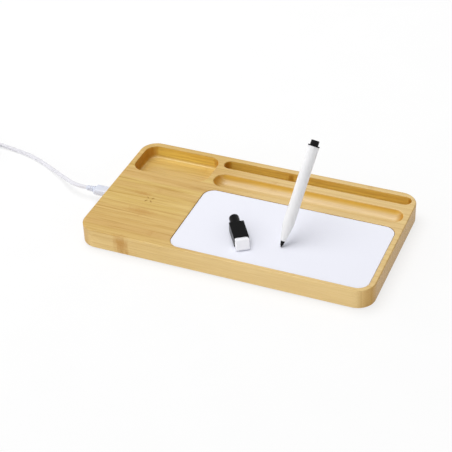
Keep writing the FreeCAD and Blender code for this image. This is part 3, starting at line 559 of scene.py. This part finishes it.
def strip_edges(graph, cut, grain, wood, colour):
    """Dense skin of each strip, the specks of its fibre bundles and the glued joints."""
    skin = graph.times(graph.span(grain.depth, 0.6, 0.98), graph.span(cut.end_face, 0.0, 1.0, 0.2, 0.35))
    colour = graph.mix(skin, colour, wood.dark)
    specks = graph.times(graph.span(grain.bundles, 0.34, 0.16), graph.span(cut.end_face, 0.0, 1.0, 0.14, 0.4))
    colour = graph.mix(specks, colour, wood.fibre)
    joint = graph.math("MINIMUM", grain.depth, graph.math("SUBTRACT", 1.0, grain.depth))
    return graph.mix(graph.span(joint, 0.03, 0.0, 0.0, JOINT_SHARE), colour, wood.fibre)


def node_colour(graph, cut, grain, wood, colour):
    """Faint nodes across each strip of the top, and the plain patches at the nodes that were cut."""
    blotch = graph.noise(graph.place(BLOTCH_WAVES), detail=3.0, roughness=0.6)
    node = graph.math("MULTIPLY_ADD", blotch, NODE_WANDER, grain.node_place)
    away = graph.math("ABSOLUTE", graph.math("SUBTRACT", cut.x, node))
    patchy = graph.span(blotch, 0.35, 0.7, 0.05, 0.35)
    on_top = graph.span(cut.facing[2], 0.5, 0.9)
    nodes = graph.times(graph.span(away, NODE_REACH, NODE_CORE), patchy, on_top)
    for place, reach, strength in NODE_PATCHES:
        aside = graph.vector("SUBTRACT", cut.point, place)
        near = graph.vector("MULTIPLY", aside, tuple(1 / length for length in reach))
        distance = graph.vector("LENGTH", near, output="Value")
        ragged = graph.math("MULTIPLY_ADD", blotch, PATCH_WANDER_SHARE, distance)
        nodes = graph.math("MAXIMUM", nodes, graph.span(ragged, 1.7, 0.8, 0.0, strength))
    colour = graph.mix(nodes, colour, wood.node)
    # Cut ends in the hollows: end grain darkened with painted shade
    return graph.mix(graph.times(cut.inside, cut.end_face, HOLLOW_END_SHADE_SHARE), colour, wood.end)


def mark_and_gap_shade(graph, cut, wood, colour):
    """Burnt strokes of the charging mark, and painted shadow in the gap around the whiteboard."""
    level = graph.add("ShaderNodeCombineXYZ", {"X": cut.x, "Y": cut.y}).outputs["Vector"]
    from_mark = graph.vector("DISTANCE", level, MARK_PLACE, "Value")
    sunk = graph.span(cut.z, BLOCK_TOP - 0.02, BLOCK_TOP - MARK_DEPTH)
    burnt = graph.times(graph.span(from_mark, MARK_REACH + MARK_BLUR, MARK_REACH), sunk, BURNT_SHARE)
    colour = graph.mix(burnt, colour, wood.scorch)
    # Painted shadow: the recess around the whiteboard in the node colour
    right_of_pad = graph.span(cut.x, GAP_SHADE_LEFT - GAP_SHADE_BLUR, GAP_SHADE_LEFT + GAP_SHADE_BLUR)
    before_groove = graph.span(cut.y, GAP_SHADE_BACK + GAP_SHADE_BLUR, GAP_SHADE_BACK - GAP_SHADE_BLUR)
    below_rim = graph.span(cut.z, BLOCK_TOP - 0.15, BLOCK_TOP - 0.4)
    return graph.mix(graph.times(right_of_pad, before_groove, below_rim, cut.inside), colour, wood.node)


def bamboo_material(wood):
    """Oiled strips of cane glued side by side along X, with fibres, nodes, a burnt mark, and painted shade
    and light in its hollows.
    """
    graph = Graph(bpy.data.materials.new("bamboo"))
    cut = block_cut(graph)
    grain = strip_grain(graph, cut, wood.strip / MM)
    colour = strip_colour(graph, cut, grain, wood)
    colour = hollow_shading(graph, cut, grain, wood, colour)
    colour = strip_edges(graph, cut, grain, wood, colour)
    colour = node_colour(graph, cut, grain, wood, colour)
    colour = mark_and_gap_shade(graph, cut, wood, colour)
    height = graph.math("MULTIPLY_ADD", grain.fine, 0.6, graph.times(grain.bundles, 0.4))
    dull = graph.math("MAXIMUM", cut.turned, cut.end_face)
    return graph.surface(
        base_color=colour,
        roughness=graph.span(grain.fine, 0.3, 0.7, wood.roughness - 0.06, wood.roughness + 0.10),
        normal=graph.bump(height, WOOD_RELIEF, 0.5),
        specular_ior_level=graph.span(dull, 0.0, 0.8, 0.5, 0.1),
    )


def enamel_material(colour):
    """Smooth white enamel with faint traces of wiping."""
    graph = Graph(bpy.data.materials.new("whiteboard_enamel"))
    wipe = graph.noise(graph.place((0.03, 0.12, 0.1)), detail=4.0, roughness=0.6, distortion=0.4)
    specks = graph.noise(graph.place((1.6, 1.6, 1.6)))
    tint = graph.mix(graph.span(wipe, 0.35, 0.75, 0.0, 0.06), colour, dimmed(colour, 0.955))
    return graph.surface(
        base_color=tint, roughness=graph.span(wipe, 0.3, 0.7, 0.28, 0.3),
        normal=graph.bump(specks, ENAMEL_RELIEF, 0.2), specular_ior_level=0.15,
    )


def moulded_material(name, colour, roughness, grain=0.9, relief=MOULDED_RELIEF, **extra):
    """Moulded plastic or rubber: a fine grained skin with slight differences in sheen and tone."""
    graph = Graph(bpy.data.materials.new(name))
    skin = graph.noise(graph.place((grain * 4,) * 3))
    drift = graph.noise(graph.place((grain * 0.12,) * 3))
    tint = graph.mix(graph.span(drift, 0.3, 0.7, 0.0, 0.6), colour, dimmed(colour, 0.93))
    rough = graph.span(drift, 0.3, 0.7, roughness - 0.06, roughness + 0.06)
    return graph.surface(base_color=tint, roughness=rough, normal=graph.bump(skin, relief, 0.35), **extra)


def brushed_metal(name, colour, roughness, along):
    """Metal with fine drawn lines along the axes that are marked 1."""
    graph = Graph(bpy.data.materials.new(name))
    waves = tuple(0.05 if share else 6.0 for share in along)
    lines = graph.noise(graph.place(waves), detail=3.0, roughness=0.6)
    tint = graph.mix(graph.span(lines, 0.3, 0.7), colour, dimmed(colour, 0.86))
    rough = graph.span(lines, 0.3, 0.7, roughness - 0.05, roughness + 0.08)
    normal = graph.bump(lines, METAL_RELIEF, 0.3)
    return graph.surface(base_color=tint, roughness=rough, metallic=1.0, normal=normal)


def felt_material(name, colour, fibre=2.4):
    """Pressed fibres lying every way."""
    graph = Graph(bpy.data.materials.new(name))
    coarse = graph.noise(graph.place((fibre,) * 3), detail=5.0, roughness=0.7, distortion=1.2)
    fuzz = graph.noise(graph.place((fibre * 4,) * 3), detail=3.0, roughness=0.7, distortion=2.0)
    both = graph.math("ADD", graph.times(coarse, 0.6), graph.times(fuzz, 0.4))
    tint = graph.mix(graph.span(both, 0.3, 0.6), dimmed(colour, 0.88), colour)
    return graph.surface(
        base_color=tint, roughness=0.95, normal=graph.bump(both, FELT_RELIEF, 0.7), sheen_weight=0.35,
        sheen_roughness=0.5, specular_ior_level=0.1,
    )


def woven_material(name, colour, thread):
    """Plain weave: two sets of threads passing over and under each other."""
    graph = Graph(bpy.data.materials.new(name))
    along, across, _ = graph.axes(graph.add("ShaderNodeUVMap").outputs["UV"])
    over = graph.math("SINE", graph.times(along, 2 * math.pi / thread))
    under = graph.math("SINE", graph.times(across, 2 * math.pi / thread))
    fuzz = graph.noise(graph.place((3.0, 3.0, 3.0)), detail=3.0, roughness=0.6)
    height = graph.math("MULTIPLY_ADD", fuzz, 0.5, graph.times(over, under))
    # Painted shade: the weave is darker where its height dips between threads
    tint = graph.mix(graph.span(height, -0.6, 1.0), dimmed(colour, 0.72), colour)
    return graph.surface(
        base_color=tint, roughness=0.88, normal=graph.bump(height, WEAVE_RELIEF, 0.8), sheen_weight=0.25,
        specular_ior_level=0.15,
    )


def circuit_material():
    """Green lacquer over fine copper tracks."""
    graph = Graph(bpy.data.materials.new("circuit_lacquer"))
    cells = {"Vector": graph.place((0.28, 0.28, 0.0)), "Scale": 1.0}
    tracks = graph.add("ShaderNodeTexVoronoi", cells, distance="MANHATTAN", feature="DISTANCE_TO_EDGE")
    mask = graph.span(tracks.outputs["Distance"], 0.09, 0.06)
    colour = graph.mix(mask, tone(22, 78, 48), tone(48, 112, 70))
    return graph.surface(base_color=colour, roughness=0.35, normal=graph.bump(mask, TRACK_RELIEF, 0.5))


def contact_material():
    """Black carrier with a row of gold contacts, two to a millimetre."""
    graph = Graph(bpy.data.materials.new("tongue_contacts"))
    step = graph.math("FRACT", graph.times(graph.axes(graph.place())[1], 2.0))
    from_middle = graph.math("ABSOLUTE", graph.math("SUBTRACT", step, 0.5))
    contact = graph.span(from_middle, 0.28, 0.24)
    colour = graph.mix(contact, tone(26, 26, 28), tone(214, 172, 84))
    return graph.surface(base_color=colour, roughness=0.35, metallic=contact)


def floor_material(clear):
    """Pale floor that keeps its shadows and is otherwise seen as white."""
    graph = Graph(bpy.data.materials.new("floor_white"))
    mottle = graph.noise(graph.place((0.02, 0.02, 0.02)))
    shade = graph.mix(graph.span(mottle, 0.3, 0.7), (0.93, 0.93, 0.93), (0.95, 0.95, 0.95))
    matt = graph.add("ShaderNodeBsdfDiffuse", {"Color": shade})
    white = graph.add("ShaderNodeEmission", {"Color": WHITE, "Strength": 1.0})
    both = graph.add("ShaderNodeMixShader", {0: graph.times(graph.background_rays(), clear)})
    graph.tree.links.new(matt.outputs["BSDF"], both.inputs[1])
    graph.tree.links.new(white.outputs["Emission"], both.inputs[2])
    graph.tree.links.new(both.outputs["Shader"], graph.output.inputs["Surface"])
    return graph.owner


def coil_seat(diameter):
    """Middle of the put-away coil, and the angle at which the lead runs into it."""
    last = Vector(LEAD_ROUTE[-1])
    heading = (last - Vector(LEAD_ROUTE[-2])).normalized()
    drawn_in = math.atan(COIL_PITCH / (2 * math.pi * COIL_RADIUS))
    start = math.atan2(heading.y, heading.x) - math.pi / 2 - drawn_in
    outward = Vector((math.cos(start), math.sin(start), 0.0))
    return last + heading * diameter - outward * COIL_RADIUS, start


def coil_place(angle, centre, start):
    """Point of the coil after a turn: some turns in, half a turn up, and out again."""
    slope = COIL_PITCH / (2 * math.pi)
    turned_in = 2 * math.pi * COIL_TURNS_IN
    inward = min(angle, turned_in)
    climb = min(max(angle - turned_in, 0.0), math.pi)
    outward = max(angle - turned_in - math.pi, 0.0)
    radius = COIL_RADIUS + slope * (outward - inward + climb**2 / math.pi - climb)
    height = COIL_LOW + COIL_STEP * (1 - math.cos(climb)) / 2
    radial = Vector((math.cos(start + angle), math.sin(start + angle), 0.0))
    return Vector((centre.x, centre.y, height)) + radial * radius


def cord_route(diameter, per_turn):
    """Control points of the whole cord, from the first plug to the far one."""
    centre, start = coil_seat(diameter)
    turned = COIL_QUARTERS * math.pi / 2
    steps = int(COIL_QUARTERS / 4 * per_turn)
    coil = [coil_place(turned * step / steps, centre, start) for step in range(steps + 1)]
    radial = coil[-1] - Vector((centre.x, centre.y, coil[-1].z))
    along = Vector((-radial.y, radial.x, 0.0))
    way = (along + radial.normalized() * COIL_PITCH / (2 * math.pi)).normalized()
    aside = Vector((-way.y, way.x, 0.0))
    end = coil[-1] + way * diameter
    tail = []
    for forward, side, height in TAIL_ROUTE:
        place = end + way * forward + aside * side
        tail.append((place.x, place.y, height))
    return [*LEAD_ROUTE, *coil, *tail]


def strap_path(low, high):
    """Middle line of the strap as (y, z) points: once round the turns, then over its own start."""
    near, far = low.y + STRAP_THICKNESS / 2, high.y - STRAP_THICKNESS / 2
    bottom, top = low.z + STRAP_THICKNESS / 2, high.z - STRAP_THICKNESS / 2
    middle = (near + far) / 2
    path = [(middle + forward, top) for forward in STRAP_STARTS]
    for y, z, first in (
        (far - STRAP_CORNER, top - STRAP_CORNER, 90),
        (far - STRAP_CORNER, bottom + STRAP_CORNER, 0),
        (near + STRAP_CORNER, bottom + STRAP_CORNER, -90),
        (near + STRAP_CORNER, top - STRAP_CORNER, -180),
    ):
        for step in range(STRAP_ARC_STEPS + 1):
            angle = math.radians(first - 90 * step / STRAP_ARC_STEPS)
            path.append((y + STRAP_CORNER * math.cos(angle), z + STRAP_CORNER * math.sin(angle)))
    start = near + STRAP_CORNER
    for step in range(1, STRAP_LAP_STEPS + 1):
        share = step / STRAP_LAP_STEPS
        rise = min(max(share * STRAP_CLIMB - STRAP_FLAT_SHARE, 0.0), 1.0)
        lift = STRAP_THICKNESS * STRAP_LIFT_SHARE * rise * rise * (3 - 2 * rise)
        path.append((start + share * (middle + STRAP_LAP - start), top + lift))
    return path


def strap_ring(low, high, place, out):
    """Corners of the strap's cross-section at a place on its path, with thinner rims."""
    middle, half = (low.x + high.x) / 2, (high.x - low.x) / 2
    ring = []
    for side in (1, -1):
        for step in range(STRAP_COLUMNS + 1):
            share = side * (step / STRAP_COLUMNS * 2 - 1)
            rim = 1 - max(0.0, abs(share) - STRAP_RIM_SHARE) * STRAP_RIM_TAPER
            ring.append(Vector((middle + share * half, *place)) + out * side * STRAP_THICKNESS / 2 * rim)
    return ring


def strap_mesh(turn):
    """Woven strap with thin edges; its UV map is in metres along and across it."""
    low, high, there = own_box("cable_tie", turn)
    path = strap_path(low, high)
    bm = bmesh.new()
    layer = bm.loops.layers.uv.new("UVMap")
    rows = []
    travelled = [0.0]
    for index, place in enumerate(path):
        before = path[max(index - 1, 0)]
        after = path[min(index + 1, len(path) - 1)]
        way = Vector((0.0, after[0] - before[0], after[1] - before[1])).normalized()
        out = Vector((0.0, -way.z, way.y))
        if index:
            travelled.append(travelled[-1] + math.dist(place, before))
        rows.append([bm.verts.new(there @ corner) for corner in strap_ring(low, high, place, out)])
    for index, (row, following) in enumerate(zip(rows, rows[1:])):
        for step in range(len(row)):
            ahead = (step + 1) % len(row)
            face = bm.faces.new((row[step], row[ahead], following[ahead], following[step]))
            for loop, along in zip(face.loops, (index, index, index + 1, index + 1)):
                loop[layer].uv = (travelled[along], (there.inverted() @ loop.vert.co).x)
    for ring in (rows[0], rows[-1]):
        bm.faces.new(ring)
    return mesh_from("cable_strap", bm)


def felt_mesh():
    """Felt block with a slanted end, soft edges and a slightly swollen, worn face."""
    noise.seed_set(FELT_SEED)
    low, high, there = own_box("felt_eraser", CAP_HEADING)
    rim = own_box("eraser_cap", CAP_HEADING)[1].x
    middle = (low + high) / 2
    half = (high - low) / 2
    core = half - Vector((FELT_ROUND, FELT_ROUND, FELT_ROUND))
    bm = bmesh.new()
    bmesh.ops.create_cube(bm, size=2.0)
    bmesh.ops.subdivide_edges(bm, edges=bm.edges, cuts=FELT_CUTS, use_grid_fill=True)
    for vertex in bm.verts:
        place = Vector(share * length for share, length in zip(vertex.co, half))
        inner = Vector(min(max(level, -reach), reach) for level, reach in zip(place, core))
        outward = place - inner
        if outward.length > 0:
            place = inner + outward.normalized() * FELT_ROUND
        out = min(max((middle.x + place.x - rim) / (high.x - rim), 0.0), 1.0)
        rise = (place.z + half.z) / (2 * half.z)
        swell = 1 + FELT_SWELL_SHARE * out * (2 - out)
        place = Vector((place.x - out * rise * FELT_SLANT, place.y * swell, place.z * swell))
        worn = place.copy()
        for waves, depth in FELT_WEAR:
            worn += noise.noise_vector(place / MM * waves) * depth
        vertex.co = there @ (middle + worn)
    return mesh_from("eraser_felt", bm)


class ORGANIZER_OT_stage(bpy.types.Operator):
    """Set up the camera, the pale floor and the soft light"""

    bl_idname = "organizer.stage"
    bl_label = "Stage"

    def execute(self, context):
        stage = context.scene.organizer_stage
        self.add_camera(context, stage)
        self.add_floor(context, stage)
        self.add_light(context, stage)
        self.add_sky(context, stage)
        context.scene.view_settings.view_transform = "Standard"
        return {"FINISHED"}

    def add_camera(self, context, stage):
        level = math.cos(stage.elevation)
        ahead = (math.sin(stage.azimuth) * level, -math.cos(stage.azimuth) * level)
        back = Vector((*ahead, math.sin(stage.elevation)))
        right = Vector((math.cos(stage.azimuth), math.sin(stage.azimuth), 0.0))
        up = back.cross(right)
        side = right * math.cos(stage.roll) - up * math.sin(stage.roll)
        top = right * math.sin(stage.roll) + up * math.cos(stage.roll)
        camera = bpy.data.objects.new("camera", bpy.data.cameras.new("camera"))
        camera.data.sensor_width = SENSOR_WIDTH
        camera.data.lens = stage.lens
        camera.data.clip_start = NEAREST
        place = Matrix((side, top, back)).transposed().to_4x4()
        place.translation = Vector(stage.camera)
        camera.matrix_world = place
        context.scene.collection.objects.link(camera)
        context.scene.camera = camera

    def add_floor(self, context, stage):
        bm = bmesh.new()
        bmesh.ops.create_grid(bm, x_segments=FLOOR_CELLS, y_segments=FLOOR_CELLS, size=FLOOR_HALF)
        floor = bpy.data.objects.new("floor", mesh_from("floor", bm))
        floor.data.materials.append(floor_material(stage.clear))
        context.scene.collection.objects.link(floor)

    def add_light(self, context, stage):
        lamp = bpy.data.lights.new("key_light", "AREA")
        lamp.shape = "DISK"
        lamp.size = stage.key_size
        lamp.energy = stage.key
        light = bpy.data.objects.new("key_light", lamp)
        light.location = stage.key_place
        light.rotation_euler = (-light.location).to_track_quat("-Z", "Y").to_euler()
        context.scene.collection.objects.link(light)

    def add_sky(self, context, stage):
        """Room that is bright near the table, most so at the front left, and seen as plain white."""
        graph = Graph(bpy.data.worlds.new("studio_room"), "ShaderNodeOutputWorld")
        way = graph.axes(graph.add("ShaderNodeTexCoord").outputs["Generated"])
        level = graph.span(way[2], 0.0, ROOM_RISE, stage.low, stage.high)
        sideways = graph.math("MULTIPLY_ADD", way[0], -stage.left, 1.0)
        level = graph.times(level, graph.math("MULTIPLY_ADD", way[1], -stage.front, sideways))
        hidden = graph.math("SUBTRACT", 1.0, level)
        strength = graph.math("MULTIPLY_ADD", graph.background_rays(), hidden, level)
        room = graph.add("ShaderNodeBackground", {"Color": WHITE, "Strength": strength})
        graph.tree.links.new(room.outputs["Background"], graph.output.inputs["Surface"])
        context.scene.world = graph.owner


class ORGANIZER_OT_cable(bpy.types.Operator):
    """Lay the cord and dress its plugs and tie"""

    bl_idname = "organizer.cable"
    bl_label = "Cable"

    def execute(self, context):
        cord = context.scene.organizer_cord
        looks = context.scene.organizer_plastics
        line = self.add_cord(cord, moulded_material("cord_sheath", looks.cable, 0.42))
        grip = moulded_material("grip_plastic", looks.grip, 0.36, grain=0.6)
        grips = ("usb_c_plug_grip", "usb_c_strain_relief", "usb_a_plug_grip", "usb_a_strain_relief")
        dress(grips, grip)
        dress(("usb_c_plug_shell",), brushed_metal("plug_steel", tone(196, 196, 198), 0.28, (1, 0, 0)))
        dress(("usb_a_plug_shell",), brushed_metal("far_plug_steel", tone(200, 200, 202), 0.3, (0, 1, 0)))
        dress(("usb_a_insert",), moulded_material("insert_plastic", tone(225, 225, 222), 0.45))
        tie = self.add_tie(cord)
        return {"FINISHED"}

    def add_cord(self, cord, material):
        route = cord_route(cord.diameter, cord.turn_points)
        curve = bpy.data.curves.new("cable_cord", "CURVE")
        curve.dimensions = "3D"
        curve.bevel_depth = cord.diameter / 2
        curve.bevel_resolution = CORD_ROUND_STEPS
        curve.use_fill_caps = True
        spline = curve.splines.new("NURBS")
        spline.points.add(len(route) - 1)
        for point, place in zip(spline.points, route):
            point.co = (*place, 1.0)
        spline.order_u = CORD_ORDER
        spline.use_endpoint_u = True
        spline.resolution_u = CORD_STEPS
        replaced = ("cable_lead", "cable_coil", "cable_tail")
        return new_piece("cable_cord", curve, "cable", material, replaced)

    def add_tie(self, cord):
        """Strap around the coil's turns, with its end laid over its start."""
        turn = coil_seat(cord.diameter)[1] - math.pi / 2
        fabric = woven_material("strap_fabric", tone(222, 222, 224), STRAP_THREAD)
        return new_piece("cable_strap", strap_mesh(turn), "cable", fabric, ("cable_tie",))


class ORGANIZER_OT_block(bpy.types.Operator):
    """Dress the bamboo block"""

    bl_idname = "organizer.block"
    bl_label = "Bamboo block"

    def execute(self, context):
        dress(("bamboo_block",), bamboo_material(context.scene.organizer_wood))
        return {"FINISHED"}


class ORGANIZER_OT_board(bpy.types.Operator):
    """Dress the whiteboard and its adhesive"""

    bl_idname = "organizer.board"
    bl_label = "Whiteboard"

    def execute(self, context):
        dress(("whiteboard_panel",), enamel_material(context.scene.organizer_plastics.board))
        adhesive = moulded_material("adhesive", tone(228, 220, 196), 0.6)
        dress(("whiteboard_adhesive", "coil_adhesive"), adhesive)
        return {"FINISHED"}


class ORGANIZER_OT_marker(bpy.types.Operator):
    """Dress the marker"""

    bl_idname = "organizer.marker"
    bl_label = "Marker"

    def execute(self, context):
        looks = context.scene.organizer_plastics
        white = moulded_material(
            "marker_plastic", looks.marker, 0.38, grain=0.5, subsurface_weight=0.4, subsurface_scale=4 * MM,
            subsurface_radius=(1.0, 1.0, 1.0),
        )
        dress(("marker_barrel",), white)
        black = moulded_material("marker_black_plastic", looks.black, 0.3, grain=0.7, specular_ior_level=0.14)
        dress(("marker_tail_plug", "marker_nib_holder"), black)
        dress(("marker_nib",), felt_material("nib_fibre", tone(30, 30, 33), fibre=5.0))
        dress(("marker_ink_reservoir",), felt_material("reservoir_fibre", tone(52, 52, 60)))
        return {"FINISHED"}


class ORGANIZER_OT_cap(bpy.types.Operator):
    """Dress the eraser cap and model its felt"""

    bl_idname = "organizer.cap"
    bl_label = "Eraser cap"

    def execute(self, context):
        looks = context.scene.organizer_plastics
        black = moulded_material("cap_plastic", looks.black, 0.22, grain=0.7, specular_ior_level=0.05)
        dress(("eraser_cap",), black)
        dress(("cap_magnet",), moulded_material("magnet_coating", tone(34, 34, 36), 0.5))
        felt = felt_material("eraser_felt", looks.felt)
        new_piece("eraser_felt", felt_mesh(), "cap", felt, ("felt_eraser",))
        return {"FINISHED"}


class ORGANIZER_OT_underside(bpy.types.Operator):
    """Dress the feet, the bottom cover and its screws"""

    bl_idname = "organizer.underside"
    bl_label = "Underside"

    def execute(self, context):
        feet = ("foot_front_left", "foot_front_right", "foot_back_left", "foot_back_right")
        dress(feet, moulded_material("foot_rubber", tone(56, 54, 52), 0.75, grain=1.6, relief=GRAINED_RELIEF))
        cover = moulded_material("cover_plastic", tone(40, 39, 38), 0.55, grain=1.4, relief=GRAINED_RELIEF)
        dress(("bottom_cover",), cover)
        dress(("cover_screws",), brushed_metal("screw_steel", tone(150, 150, 150), 0.35, (0, 0, 1)))
        return {"FINISHED"}


class ORGANIZER_OT_electronics(bpy.types.Operator):
    """Dress the charging coil, the circuit board and the port"""

    bl_idname = "organizer.electronics"
    bl_label = "Electronics"

    def execute(self, context):
        dress(("charging_coil",), brushed_metal("coil_copper", tone(198, 118, 72), 0.3, (1, 1, 0)))
        ferrite = moulded_material("ferrite", tone(48, 46, 46), 0.7, grain=2.0, relief=FERRITE_RELIEF)
        dress(("ferrite_disc",), ferrite)
        dress(("circuit_board",), circuit_material())
        epoxy = moulded_material("chip_epoxy", tone(30, 30, 31), 0.55, grain=2.5)
        dress(("controller_chip", "power_switches"), epoxy)
        ceramic = moulded_material("capacitor_ceramic", tone(150, 118, 86), 0.5, grain=2.0)
        dress(("resonance_capacitors",), ceramic)
        dress(("input_capacitor",), brushed_metal("can_aluminium", tone(205, 205, 205), 0.32, (0, 0, 1)))
        dress(("usb_c_receptacle",), brushed_metal("port_steel", tone(180, 180, 182), 0.3, (1, 0, 0)))
        dress(("receptacle_tongue",), contact_material())
        return {"FINISHED"}


class ORGANIZER_PT_looks(bpy.types.Panel):
    """Looks of the desk organizer"""

    bl_label = "Organizer"
    bl_idname = "ORGANIZER_PT_looks"
    bl_space_type = "VIEW_3D"
    bl_region_type = "UI"
    bl_category = "Organizer"

    def draw(self, context):
        for name, kind in GROUPS.items():
            group = getattr(context.scene, name)
            box = self.layout.box()
            box.label(text=kind.__doc__)
            for key in kind.__annotations__:
                box.prop(group, key)
        for operator in OPERATORS:
            self.layout.operator(operator.bl_idname)


GROUPS = {
    "organizer_stage": OrganizerStage,
    "organizer_wood": OrganizerWood,
    "organizer_plastics": OrganizerPlastics,
    "organizer_cord": OrganizerCord,
}
OPERATORS = (
    ORGANIZER_OT_stage,
    ORGANIZER_OT_cable,
    ORGANIZER_OT_block,
    ORGANIZER_OT_board,
    ORGANIZER_OT_marker,
    ORGANIZER_OT_cap,
    ORGANIZER_OT_underside,
    ORGANIZER_OT_electronics,
)
CLASSES = (*GROUPS.values(), *OPERATORS, ORGANIZER_PT_looks)


def register():
    for cls in CLASSES:
        bpy.utils.register_class(cls)
    for name, kind in GROUPS.items():
        setattr(bpy.types.Scene, name, PointerProperty(type=kind))


def unregister():
    for name in GROUPS:
        delattr(bpy.types.Scene, name)
    for cls in reversed(CLASSES):
        bpy.utils.unregister_class(cls)


def main():
    register()
    bpy.ops.organizer.stage()
    bpy.ops.organizer.cable()
    bpy.ops.organizer.block()
    bpy.ops.organizer.board()
    bpy.ops.organizer.marker()
    bpy.ops.organizer.cap()
    bpy.ops.organizer.underside()
    bpy.ops.organizer.electronics()


if __name__ == "__main__":
    main()
